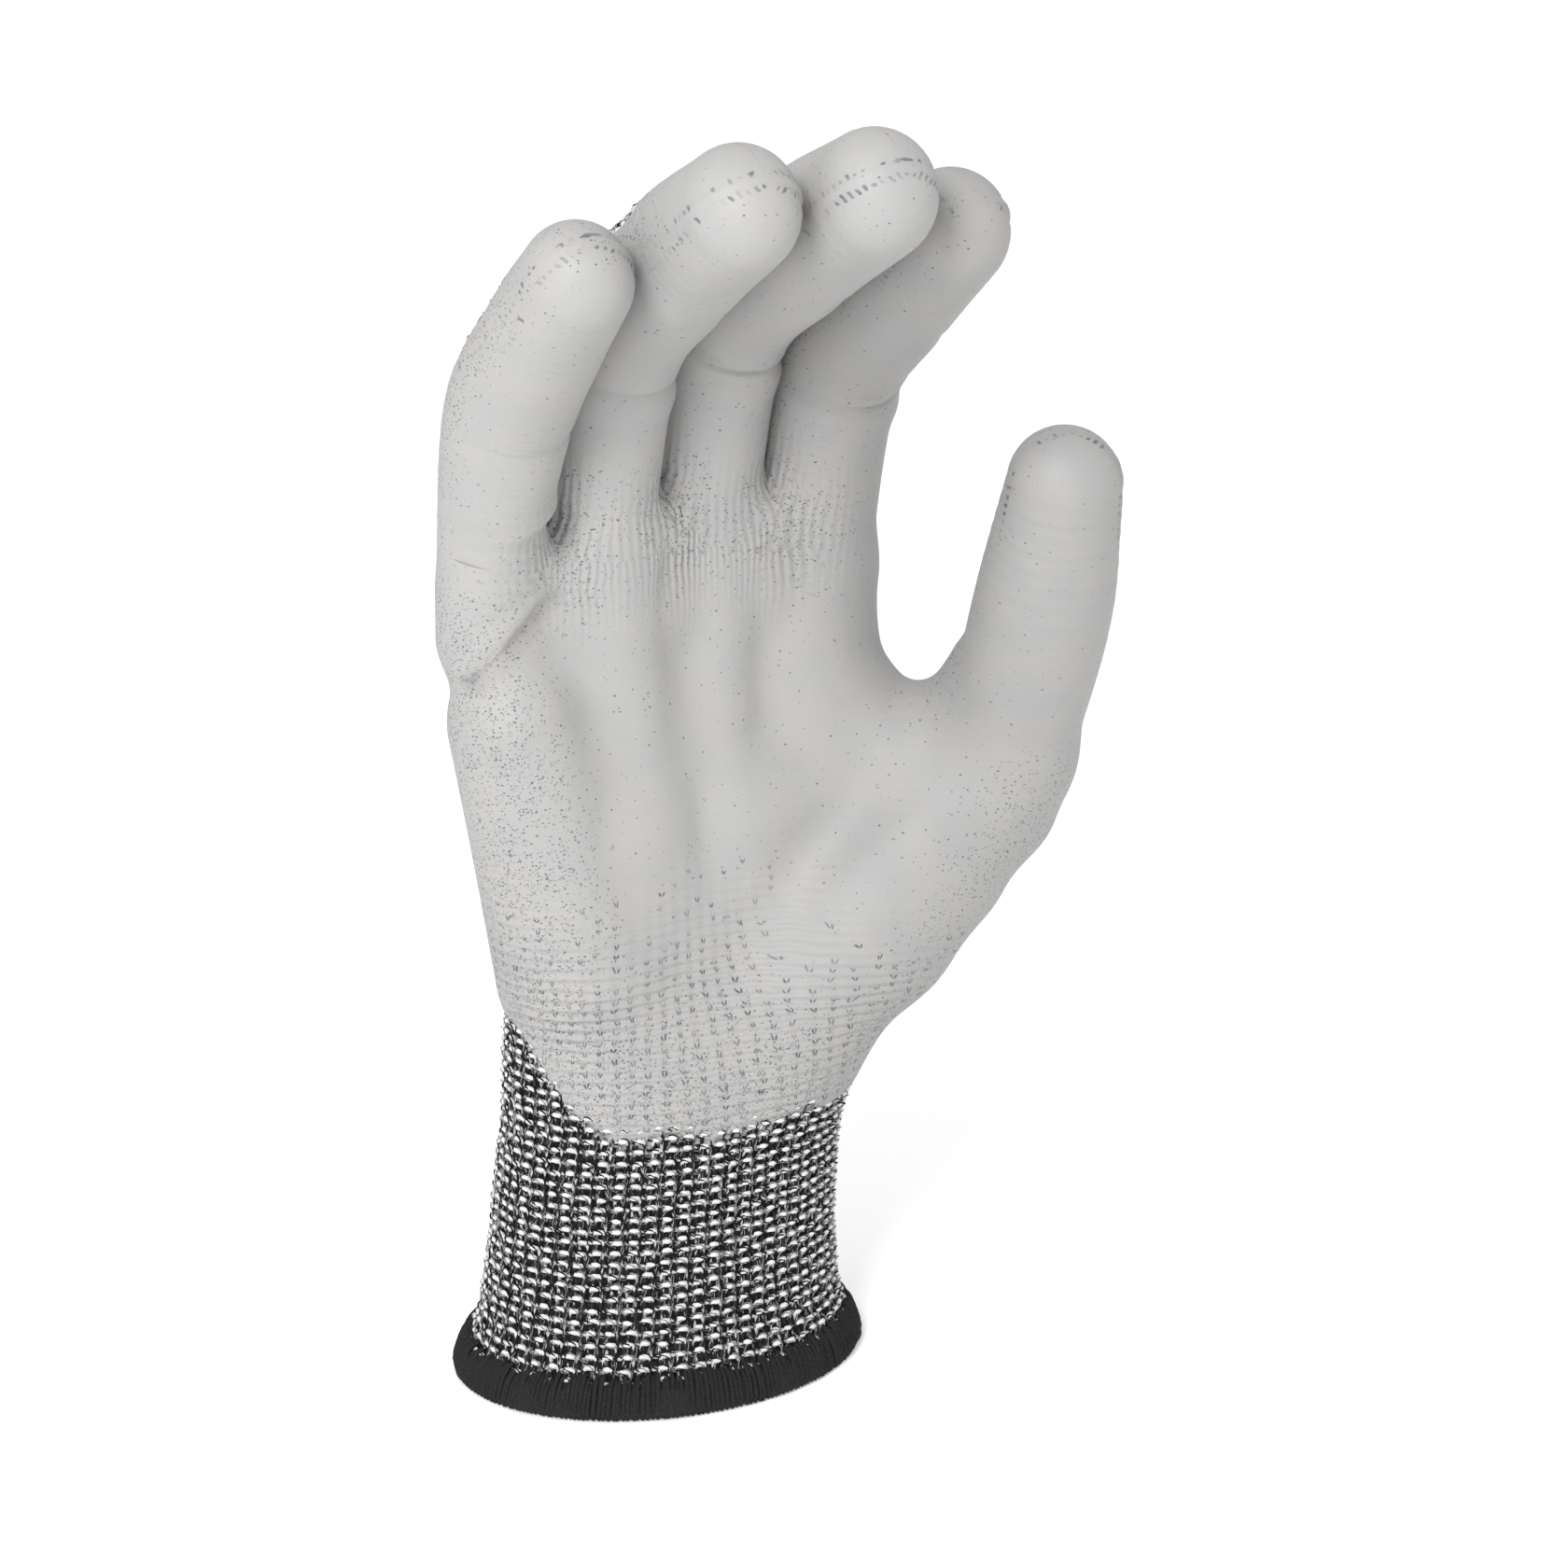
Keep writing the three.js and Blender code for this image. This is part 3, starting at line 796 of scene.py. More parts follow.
def hem_material():
    """Black overlock thread."""
    s = Shader("hem_thread", 0.9)
    s.matt()
    fuzz = s.noise(3800.0, 3.0)
    ply = (s.value("yarn_run") * 0.9 + s.value("yarn_turn") * 2.0).off_middle()
    s.colour(s.mix(s.step(fuzz, 0.45, 0.8), HEM_COLOUR, scaled(HEM_COLOUR, 2.6)))
    s.bump(ply * -1.0 + fuzz, 0.0001)
    return s.material


def floor_material():
    """A plain pale floor, faintly lit from inside so that it stays as light as the background."""
    s = Shader("floor", 0.9)
    s.colour((0.93, 0.93, 0.93))
    s.surface.inputs["Emission Color"].default_value = (1.0, 1.0, 1.0, 1.0)
    s.surface.inputs["Emission Strength"].default_value = 0.2
    return s.material


COAT = coat_material()
YARN = yarn_material()
FILAMENT = filament_material()
ELASTIC = elastic_material()
SHADE_LINER = shade_liner_material()
HEM_THREAD = hem_material()


# ---- skin pieces


def thickness(edge):
    """Height of the coat's outside over the knit's: a thin film that sinks away past its edge."""
    return np.where(edge > 0, COAT_LIFT * smoothstep(edge, -0.5, 2.0), -0.9 * smoothstep(-edge, 0.0, RAMP))


def knit_coordinates(p):
    """Rows and columns of the knit on the palm, counted in stitches."""
    x, y, z = from_hem(p)
    across = x + np.tanh(x / 15) * np.maximum(y + 20, 0)
    return across / COAT_STITCH[0], z / COAT_STITCH[1]


# Where neighbouring fingers part, from the middle of the hem.
CROTCHES = [(-22, -8, 160), (-1.5, -7, 162), (21.6, -6, 160)]


def near_crotch(p):
    """One at the bottom of the gaps between the fingers, falling to nothing about them."""
    far = np.min([np.linalg.norm(p - place(*c), axis=1) for c in CROTCHES], axis=0)
    return np.exp(-((far / 11) ** 2))


def speck_density(p, edge):
    """Share of the coat's cells that show dark yarn: most near its edges, next to none mid-palm."""
    x, y, z = from_hem(p)
    ulnar = smoothstep(x + 0.25 * (z - 100), -14, -34) * smoothstep(z, 160, 140)
    thumb_side = smoothstep(x - (z - 60) * 0.42, 20, 38) * smoothstep(z, 130, 95)
    wrist = smoothstep(z - 0.76 * y, 100, 74)
    side = smoothstep(edge, 13.0, 3.0)
    share = 0.03 + 0.7 * ulnar + 0.4 * thumb_side + 0.4 * wrist + 0.6 * side + 0.5 * near_crotch(p)
    return np.clip(share, 0, 0.9)


def stitch_density(p, edge):
    """Share of the stitches that show through as pairs of marks, and how far their rows stand out."""
    _, y, z = from_hem(p)
    low = smoothstep(z - 0.76 * y, 118, 82)
    return np.clip(0.9 * low + 0.25 * smoothstep(edge, 6.0, 0.0), 0, 0.9)


# Soft creases of the coat: points along each, width, and depth, which is below zero on a ridge.
CREASES = [
    ([(-40.4, -8.5, 136.5), (-33.6, -13.5, 144.5), (-25, -13, 151)], 1.8, 2.3),
    ([(-42, -8, 140), (-36, -13, 149), (-28, -14, 155)], 2.8, -1.9),
    ([(-36.9, -13.4, 122.9), (-33.1, -15.9, 129.4), (-24, -15, 132)], 2.4, 1.1),
    ([(-37, -12, 127), (-35, -13, 120), (-33, -13, 112)], 6.0, 1.3),
    ([(-22, -9, 164), (-21.9, -10, 158), (-22, -12, 150), (-23, -14, 140)], 2.8, 1.8),
    ([(-1.5, -8, 166), (-1.5, -9, 160), (-2, -12, 152), (-3, -15, 140)], 3.0, 2.0),
    ([(21.6, -7, 164), (21.6, -8, 158), (20, -12, 150), (16, -16, 138)], 3.2, 2.2),
    ([(8, -21, 150), (6, -21, 138), (3, -21, 126)], 4.0, -0.6),
    ([(-12, -19, 150), (-13, -20, 138), (-14, -20, 126)], 4.0, -0.6),
    ([(30, -16, 152), (26, -18, 140), (20, -20, 128)], 4.5, -0.7),
]


def creased(p):
    """How far the skin rises at each point, below zero in the soft creases."""
    rise = np.zeros(len(p))
    for points, width, deep in CREASES:
        line = [place(*point) for point in points]
        far = np.min([along_line(p, a, b)[1] for a, b in zip(line[:-1], line[1:])], axis=0)
        rise -= deep * np.exp(-((far / width) ** 2))
    return rise


def skin_values(p, edge, u, v):
    """What the coat's material reads at each point."""
    return {
        "knit_u": u,
        "knit_v": v,
        "specks": speck_density(p, edge),
        "stitches": stitch_density(p, edge),
        "ribs": near_crotch(p),
    }


# Folds across the inside of the joints: digit, joint, place past the joint, lean, width and depth.
JOINT_FOLDS = [
    ("little", 0, 9.0, 1.6, 2.2, 0.7),
    ("little", 0, 12.5, 1.6, 2.2, -0.8),
    ("little", 1, 1.0, 0.0, 1.6, 0.6),
    ("ring", 1, -1.0, 0.0, 1.3, 0.9),
    ("ring", 1, -6.5, 0.3, 3.0, -0.5),
    ("middle", 1, 0.5, -1.6, 1.5, 1.0),
    ("middle", 1, -6.0, 0.0, 3.5, -0.5),
    ("index", 1, 3.5, 0.8, 1.2, 0.7),
    ("index", 1, -3.0, 0.0, 3.5, -0.6),
    ("index", 1, 9.5, 1.5, 0.8, 0.3),
    ("index", 1, 11.5, 1.5, 0.8, 0.3),
    ("ring", 2, 0.0, 0.0, 2.0, 0.35),
    ("middle", 2, 0.5, 0.0, 2.0, 0.35),
    ("index", 2, 0.0, 0.0, 2.0, 0.4),
    ("thumb", 1, 0.0, 0.0, 2.2, 0.35),
]


def joint_creases(digit, arc, depth, angle):
    """How far the skin rises at each point, below zero in the folds inside a digit's joints."""
    pad = smoothstep(-depth, 1.0, 7.0)
    total = np.zeros(len(arc))
    for name, joint, past, lean, width, deep in JOINT_FOLDS:
        if name != digit.name:
            continue
        middle = digit.joint_arcs[joint] + past + lean * np.sin(angle) * 2
        total -= deep * pad * np.exp(-(((arc - middle) / width) ** 2))
    return total


def coat_mesh(name, rows, normals, faces, values, edge, relief):
    """The coat over part of the skin, trimmed where it has run out."""
    shell = rows + normals * (thickness(edge) + relief)[:, None]
    kept = edge[faces].max(1) > -RAMP
    used, kept_faces = keep_faces(faces, kept)
    chosen = {key: data[used] for key, data in values.items()}
    return make_mesh(name, shell[used], kept_faces, COAT, chosen, normals[used])


def shade_liner_mesh(name, rows, normals, faces, edge):
    """A near black sheet of painted shade under the bare loops."""
    kept = edge[faces].min(1) < 4.0
    if not kept.any():
        return None
    used, kept_faces = keep_faces(faces, kept)
    return make_mesh(name, (rows - normals * SHADE_LINER_DEPTH)[used], kept_faces, SHADE_LINER, None, normals[used])


def bend(obj, joint, start, end):
    """Bakes a piece's place into its mesh without bending it; the joint is not used, and start and end are in
    millimetres.
    """
    if obj is not None:
        tuple(start * MM)
        tuple(end * MM)
        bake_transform(obj)


def bend_wrist(obj):
    """Hands a piece to bend with the wrist's joint and the upper half of the cuff; it is not bent."""
    bend(obj, "wrist_bend", place(3.5, 0, 28), place(3.5, 0, 58))


def digit_planes(digit):
    """For each joint of a digit, the start and end handed to bend, and where its mesh piece ends."""
    arcs = digit.joint_arcs
    start = DIGIT_START[digit.name]
    last = digit.length + 99
    if digit.is_thumb:
        first_end = 22.4
        return [(start + 0.5, first_end - 2.0, first_end), (arcs[1] - 9, arcs[1] + 9, last)]
    first_end = arcs[1] - 11
    second_end = (arcs[1] + arcs[2]) / 2
    return [
        (start + 0.8, first_end - 2.0, first_end),
        (arcs[1] - 9, arcs[1] + 9, second_end),
        (arcs[2] - 6.5, arcs[2] + 6.5, last),
    ]


def ring_directions(digit, arc, angles):
    """Unit directions round the centre line; angle 0 is the back, a quarter turn is one side."""
    back = digit.dorsal(arc)
    side = np.cross(back, digit.at(arc)[2])
    return np.cos(angles)[:, None] * back + np.sin(angles)[:, None] * side


def march(field, centre, direction, reach):
    """Points along rays where the field is zero, starting from a guess at each ray's reach."""
    for _ in range(7):
        p = centre + reach[:, None] * direction
        slope = (field(p + direction * 0.2) - field(p - direction * 0.2)) / 0.4
        reach = reach - np.clip(field(p) / np.maximum(slope, 0.35), -3, 3)
        reach = np.clip(reach, 2.0, 30.0)
    return centre + reach[:, None] * direction


def digit_skin(digit):
    """Rings of points over a digit, with the arc length of each ring."""
    field = digit_field(digit.name)
    arcs = np.arange(DIGIT_START[digit.name], digit.length - 0.01, 0.8)
    arcs = np.append(arcs, digit.length)
    turns = np.linspace(0, 2 * math.pi, AROUND, endpoint=False)
    arc_all, angle_all = np.repeat(arcs, AROUND), np.tile(turns, len(arcs))
    centre, radius, tangent = digit.at(arc_all)
    direction = ring_directions(digit, arc_all, angle_all)
    rows = march(field, centre, direction, radius)
    cap_steps = 13
    rise = np.linspace(0, math.pi / 2, cap_steps + 1)[1:]
    rise[-1] = math.pi / 2 - 0.004
    last = slice(len(rows) - AROUND, len(rows))
    tip, out, ahead = centre[last], direction[last], tangent[last]
    caps = []
    for angle in rise:
        ray = np.cos(angle) * out + np.sin(angle) * ahead
        caps.append(march(field, tip, ray, np.full(AROUND, radius[-1])))
    rows = np.vstack([rows] + caps)
    arcs = np.concatenate([arcs, digit.length + rise * radius[-1]])
    return rows, unit(gradient(field, rows)), arcs


def build_digit(digit):
    """A digit's coat and the sheet of painted shade under its knit, one piece of each for every joint."""
    rows, normals, arcs = digit_skin(digit)
    edge = coat_edge(rows)
    ring_arc = np.repeat(arcs, AROUND)
    angle = np.tile(np.arange(AROUND), len(arcs))
    root = digit.at(DIGIT_START[digit.name])[0][0][2] - DIGIT_START[digit.name]
    around = round(2 * math.pi * digit.radius.mean() / COAT_STITCH[0])
    values = skin_values(rows, edge, angle * around / AROUND, (ring_arc + root) / COAT_STITCH[1])
    from_tip = digit.length + digit.radius[-1] * math.pi / 2 - ring_arc
    on_line = np.minimum(ring_arc, digit.length)
    depth = ((rows - digit.at(on_line)[0]) * digit.dorsal(on_line)).sum(1)
    seam = depth - 1.5 + 0.16 * from_tip
    share = smoothstep(from_tip, TIP_SEAM, TIP_SEAM * 0.6)
    values |= {"seam": seam, "seam_run": ring_arc / 1.5, "seam_share": share}
    ridge = 0.3 * np.exp(-((seam / 0.8) ** 2)) - 0.22 * np.exp(-(((np.abs(seam) - 1.6) / 0.7) ** 2))
    folds = joint_creases(digit, ring_arc, depth, angle * 2 * math.pi / AROUND)
    relief = share * ridge + creased(rows) + folds
    faces = grid_faces(len(arcs), AROUND)
    face_arc = arcs[faces[:, 0] // AROUND]
    low = -99.0
    for index, (start, end, high) in enumerate(digit_planes(digit)):
        chosen = (face_arc >= low) & (face_arc < high)
        bent = digit.joints[index], digit.at(start)[0][0], digit.at(end)[0][0]
        label = f"{digit.name}_{index}"
        bend(coat_mesh("coat_" + label, rows, normals, faces[chosen], values, edge, relief), *bent)
        bend(shade_liner_mesh("liner_" + label, rows, normals, faces[chosen], edge), *bent)
        low = high


def clip_planes():
    """Where each digit's own mesh takes over from the palm's: a point and a direction."""
    planes = []
    for digit in DIGITS.values():
        centre, _, tangent = digit.at(DIGIT_START[digit.name])
        planes.append((digit, centre[0], tangent[0]))
    return planes


def palm_skin():
    """The wrist and palm up to the digits' roots."""
    rows, quads = surface_nets(hand_field, place(-52, -52, 4.6), place(82, 40, 176), 1.7)
    rows, _ = settle(hand_field, rows, 3)
    keep = np.ones(len(quads), bool)
    middle = rows[quads].mean(1)
    for digit, centre, tangent in clip_planes():
        beyond = (middle - centre) @ tangent > 2.5
        near = digit.field(middle) < 3.0
        keep &= ~(beyond & near)
    used, quads = keep_faces(quads, keep)
    rows, quads = refine(rows[used], quads)
    return *settle(hand_field, rows), quads


def build_palm():
    """The palm's coat and the sheet of painted shade under its knit, cut where the digits begin."""
    rows, normals, quads = palm_skin()
    edge = coat_edge(rows)
    u, v = knit_coordinates(rows)
    values = skin_values(rows, edge, u, v)
    values |= {"seam": np.full(len(rows), 9.0), "seam_run": v, "seam_share": np.zeros(len(rows))}
    coat = coat_mesh("coat_palm", rows, normals, quads, values, edge, creased(rows))
    shade_liner = shade_liner_mesh("liner_palm", rows, normals, quads, edge)
    for obj in (coat, shade_liner):
        cut_at_digits(obj)
        bend_wrist(obj)


def cut_at_digits(obj):
    """Trims the palm's mesh flush with each digit's first ring."""
    mesh = bmesh.new()
    mesh.from_mesh(obj.data)
    for digit, centre, tangent in clip_planes():
        faces = []
        for face in mesh.faces:
            p = np.array(face.calc_center_median()) / MM
            if abs((p - centre) @ tangent) < 6 and np.linalg.norm(p - centre) < 20:
                faces.append(face)
        edges = {e for f in faces for e in f.edges}
        corners = {c for f in faces for c in f.verts}
        bmesh.ops.bisect_plane(
            mesh,
            geom=list(faces) + list(edges) + list(corners),
            plane_co=Vector((centre + tangent * ROOT_OVERLAP) * MM),
            plane_no=Vector(tangent),
            dist=1e-7,
        )
        gone = []
        for face in mesh.faces:
            p = np.array(face.calc_center_median()) / MM
            if ROOT_OVERLAP + 0.01 < (p - centre) @ tangent < 6:
                if digit.field(p[None])[0] < 2.0:
                    gone.append(face)
        bmesh.ops.delete(mesh, geom=gone, context="FACES")
        for corner in mesh.verts:
            p = np.array(corner.co) / MM
            over = (p - centre) @ tangent
            if 0 < over < ROOT_OVERLAP + 0.1 and digit.field(p[None])[0] < 2.0:
                corner.co -= Vector(corner.normal) * (0.12 * over / ROOT_OVERLAP * MM)
    mesh.to_mesh(obj.data)
    mesh.free()


# ---- yarn

# Points along one loop, how far its legs lean over its neighbours, and half its height.
LOOP_POINTS = 12
LOOP_BULGE = 0.3
LOOP_HALF_HEIGHT = 1.2
YARN_SIDES = 5
FILAMENT_SIDES = 3
FILAMENT_TURNS = 1.35
# The two filaments wound on the yarn: shade, distance from its middle, share of a turn, and radius.
FILAMENTS = [(0.0, 0.5, 0.0, 0.2), (1.0, 0.68, 0.5, 0.13)]


def path_frames(rows, outward, closed):
    """Two directions across each point of the paths: out of the cloth and along it."""
    if closed:
        ahead, behind = np.roll(rows, -1, 1), np.roll(rows, 1, 1)
    else:
        ahead = np.concatenate([rows[:, 1:], rows[:, -1:]], 1)
        behind = np.concatenate([rows[:, :1], rows[:, :-1]], 1)
    tangent = ahead - behind
    tangent /= np.linalg.norm(tangent, axis=2)[..., None] + 1e-9
    side = np.cross(tangent, outward)
    side /= np.linalg.norm(side, axis=2)[..., None] + 1e-9
    return np.cross(side, tangent), side


def tubes(rows, outward, radius, closed, sides=YARN_SIDES):
    """Round tubes along rows of points: corner rows, faces, and the path point each corner belongs to."""
    count, steps = rows.shape[:2]
    up, side = path_frames(rows, outward, closed)
    turns = np.arange(sides) * 2 * math.pi / sides
    ring = np.cos(turns)[:, None] * up[:, :, None] + np.sin(turns)[:, None] * side[:, :, None]
    corners = rows[:, :, None] + ring * radius[:, :, None, None]
    last = steps if closed else steps - 1
    path = np.arange(count)[:, None, None] * steps
    i = path + np.arange(last)[None, :, None]
    n = path + (np.arange(last)[None, :, None] + 1) % steps
    j = np.arange(sides)[None, None, :]
    k = (j + 1) % sides
    faces = np.stack([i * sides + j, i * sides + k, n * sides + k, n * sides + j], -1)
    return corners.reshape(-1, 3), faces.reshape(-1, 4), np.repeat(np.arange(count * steps), sides)


def sunk(p):
    """How far the loops sink under the coat near its edge."""
    return 0.32 * smoothstep(coat_edge(p), -0.2, 1.6)


def wander(count, wales, run, size):
    """A smooth random offset along each course."""
    knots = RANDOM.normal(0, size, (count, wales + 1))
    knots[:, -1] = knots[:, 0]
    return np.array([np.interp(r, np.arange(wales + 1), k) for r, k in zip(run, knots)])


def courses(heights, wales):
    """Knitted rows: column position, height, depth, run in wales and head measure of each yarn point."""
    t = np.arange(wales * LOOP_POINTS) * 2 * math.pi / LOOP_POINTS
    run = np.tile(t / (2 * math.pi), (len(heights), 1))
    t = t[None, :]
    skew = 0.09 * np.cos(t)
    across = run + (LOOP_BULGE / WALE) * np.sin(2 * t) + skew + wander(len(heights), wales, run, 0.06)
    swing = np.tanh(1.5 * np.cos(t)) / math.tanh(1.5)
    lift = LOOP_HALF_HEIGHT * (1 + wander(len(heights), wales, run, 0.06)) * swing - 0.15
    up = heights[:, None] + lift + wander(len(heights), wales, run, 0.13)
    depth = 0.24 * np.cos(2 * t) + 0.2 * np.cos(t) + wander(len(heights), wales, run, 0.05)
    run = run + RANDOM.uniform(0, 9, (len(heights), 1))
    return across, up, depth, run, np.broadcast_to(np.cos(t), up.shape)


def bare_tubes(name, paths, outward, radius, closed, sides, limit, material, values):
    """Tubes only where the coat leaves the knit bare, without any jump between far points."""
    corners, faces, source = tubes(paths, outward, radius, closed, sides)
    flat = paths.reshape(-1, 3)
    first, second = source[faces[:, 0]], source[faces[:, 2]]
    short = np.linalg.norm(flat[first] - flat[second], axis=1) < 2.2
    bare = (coat_edge(flat)[first] < limit) & short
    if not bare.any():
        return None
    used, faces = keep_faces(faces, bare)
    corner_grid = paths.shape[:2] + (sides,)
    values = {key: np.broadcast_to(data, corner_grid).reshape(-1)[used] for key, data in values.items()}
    return make_mesh(name, corners[used], faces, material, values)


def yarn_mesh(name, rows, outward, run, head, closed):
    """The yarn of the courses, thinner in its legs than in its heads."""
    radius = KNIT_RADIUS * (0.72 + 0.18 * head + 0.22 * head**2)
    turn = np.abs(np.arange(YARN_SIDES) / YARN_SIDES * 2 - 1)
    values = {"yarn_run": run[..., None], "yarn_turn": turn, "yarn_head": head[..., None]}
    return bare_tubes(name, rows, outward, radius, closed, YARN_SIDES, RAMP - 1, YARN, values)


def filament_mesh(name, rows, outward, run, closed):
    """Two thin filaments, black and grey, wound loosely round the yarn of each course."""
    up, side = path_frames(rows, outward, closed)
    paths, shades, radii = [], [], []
    for shade, reach, turn, radius in FILAMENTS:
        phase = 2 * math.pi * (FILAMENT_TURNS * run + turn)
        wound = np.cos(phase)[..., None] * up * 0.85 + np.sin(phase)[..., None] * side
        paths.append(rows + reach * wound)
        shades.append(np.full(run.shape, shade))
        radii.append(np.full(run.shape, radius))
    paths, shades, radii = (np.concatenate(parts) for parts in (paths, shades, radii))
    outward = np.concatenate([outward, outward])
    values = {"shade": shades[..., None]}
    return bare_tubes(name, paths, outward, radii, closed, FILAMENT_SIDES, 0.6, FILAMENT, values)


def body_table():
    """Across and depth positions of the wrist and hand's skin at every height and knit column."""
    heights = np.arange(3.0, 163.0, 1.5)
    turns = np.radians(np.arange(-180, 181, 3.0))
    z = np.repeat(heights, len(turns))
    turn = np.tile(turns, len(heights))
    middle = HEM_CENTRE[0] + np.interp(z, [0, 43, 62, 76, 100, 160], [0, 3.5, 6, 7, 4, 0])
    depth = HEM_CENTRE[1] + np.interp(z, [0, 76, 160], [0, -1.0, 0.0])
    centre = np.column_stack([middle, depth, z])
    ray = np.column_stack([np.sin(turn), np.cos(turn), np.zeros(len(z))])
    reach = np.full(len(z), 9.0)
    moving = np.ones(len(z), bool)
    for _ in range(60):
        value = palm_field(centre[moving] + reach[moving, None] * ray[moving])
        reach[moving] -= np.minimum(value, 0) * 0.8
        still = np.zeros(len(z), bool)
        still[moving] = value < -0.05
        moving = still & (reach < 70)
        if not moving.any():
            break
    p = (centre + reach[:, None] * ray)[:, :2].reshape(len(heights), len(turns), 2)
    columns = np.arange(-CUFF_WALES / 2, CUFF_WALES / 2 + 0.01, 0.25)
    table = np.empty((len(heights), len(columns), 2))
    for i, height in enumerate(heights):
        steps = np.linalg.norm(np.diff(p[i], axis=0), axis=1)
        arc = np.concatenate([[0], np.cumsum(steps)])
        arc -= arc[len(turns) // 2]
        wale = (arc[-1] - arc[0]) / CUFF_WALES
        above = smoothstep(height, 62.0, 104.0)
        wale += (min(wale, 3.6) - wale) * above
        middle_shift = (arc[-1] + arc[0]) / 2 * (1 - above)
        along = columns * wale + middle_shift * np.abs(columns) / (CUFF_WALES / 2)
        for axis in range(2):
            table[i, :, axis] = np.interp(along, arc, p[i, :, axis])
    return heights, columns, table


BODY_TABLE = body_table()


def on_body(column, height):
    """Places of the given knit columns and heights on the wrist and hand."""
    heights, columns, table = BODY_TABLE
    column = (column + CUFF_WALES / 2) % CUFF_WALES - CUFF_WALES / 2
    i = np.clip((height - heights[0]) / (heights[1] - heights[0]), 0, len(heights) - 1.001)
    j = np.clip((column - columns[0]) / (columns[1] - columns[0]), 0, len(columns) - 1.001)
    a, b = i.astype(int), j.astype(int)
    s, t = (i - a)[:, None], (j - b)[:, None]
    low = table[a, b] * (1 - t) + table[a, b + 1] * t
    high = table[a + 1, b] * (1 - t) + table[a + 1, b + 1] * t
    xy = low * (1 - s) + high * s
    return np.column_stack([xy, height])


def body_yarn(name, first, last):
    """Courses of loops round the wrist and hand between two heights."""
    across, up, depth, run, head = courses(np.arange(first, last, COURSE), CUFF_WALES)
    p = on_body(across.ravel() - CUFF_WALES / 2, up.ravel())
    edge = coat_edge(p)
    field = palm_field if last < 120 else hand_field
    near = edge < RAMP + 2
    normals = np.tile([0.0, 0.0, 1.0], (len(p), 1))
    p[near], normals[near] = settle(field, p[near])
    p = p + normals * (depth.ravel() + YARN_LEVEL - sunk(p))[:, None]
    rows, outward = p.reshape(up.shape + (3,)), normals.reshape(up.shape + (3,))
    bend_wrist(yarn_mesh("yarn_" + name, rows, outward, run, head, True))
    bend_wrist(filament_mesh("filament_" + name, rows, outward, run, True))


def digit_yarn(digit):
    """Courses of loops over the back of a digit, one piece for each joint."""
    field = digit_field(digit.name)
    wales = 11 if digit.is_thumb else 9
    end = digit.joint_arcs[-1] + 12
    heights = np.arange(DIGIT_START[digit.name] - 2.5, end, COURSE)
    across, up, depth, run, head = courses(heights, wales)
    arc = up.ravel()
    centre, radius, _ = digit.at(arc)
    angle = (across.ravel() - wales / 2) * 2.9 / radius
    p = march(field, centre, ring_directions(digit, arc, angle), radius)
    normals = unit(gradient(field, p))
    p = p + normals * (depth.ravel() + YARN_LEVEL - sunk(p))[:, None]
    shape = up.shape + (3,)
    rows, outward = p.reshape(shape), normals.reshape(shape)
    low = -99.0
    for index, (start, stop, high) in enumerate(digit_planes(digit)):
        chosen = (heights >= low) & (heights < high)
        low = high
        if not chosen.any():
            continue
        label = f"{digit.name}_{index}"
        part = rows[chosen], outward[chosen], run[chosen]
        bent = digit.joints[index], digit.at(start)[0][0], digit.at(stop)[0][0]
        bend(yarn_mesh("yarn_" + label, *part, head[chosen], False), *bent)
        bend(filament_mesh("filament_" + label, *part, False), *bent)


# ---- hem


# Height and distance outside the knit along the folded band, and along one stitch from the inside out.
BAND_PROFILE = [(4.9, -2.1), (2.5, -2.1), (0.9, -1.8), (0.35, -0.8), (0.3, 0.2)]
BAND_PROFILE += [(0.9, 0.95), (2.5, 1.1), (4.9, 0.9), (6.1, -0.3)]
STITCH_INSIDE = [(4.6, -2.4), (1.6, -2.4), (0.45, -1.5), (0.45, 0.2)]
STITCH_OUTSIDE = [(1.6, 0.92), (3.4, 0.97), (4.9, 0.8), (6.0, 0.1), (6.3, -0.8)]
STITCHES = 260


def hem_ring(turns, height, offset):
    """Points round the hem at a height, a distance outside the knit."""
    height = np.broadcast_to(height, len(turns))
    _, across, deep = cuff_section(height)
    x, y = (across + offset) * np.cos(turns), (deep + offset) * np.sin(turns)
    return np.column_stack([HEM_CENTRE[0] + x, HEM_CENTRE[1] + y, height])


def hem_band():
    """The dark band folded over the knit's cut edge."""
    around = 360
    turns = np.arange(around) * 2 * math.pi / around
    ripple = 0.18 * np.sin(turns * 9) + 0.12 * np.sin(turns * 23 + 1)
    rows = np.vstack([hem_ring(turns, height, out + ripple) for height, out in BAND_PROFILE])
    faces = grid_faces(len(BAND_PROFILE), around)[:, ::-1]
    values = {"yarn_run": np.tile(turns * 40, len(BAND_PROFILE)), "yarn_turn": np.zeros(len(rows))}
    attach(make_mesh("hem_band", rows, faces, HEM_THREAD, values), "cuff")


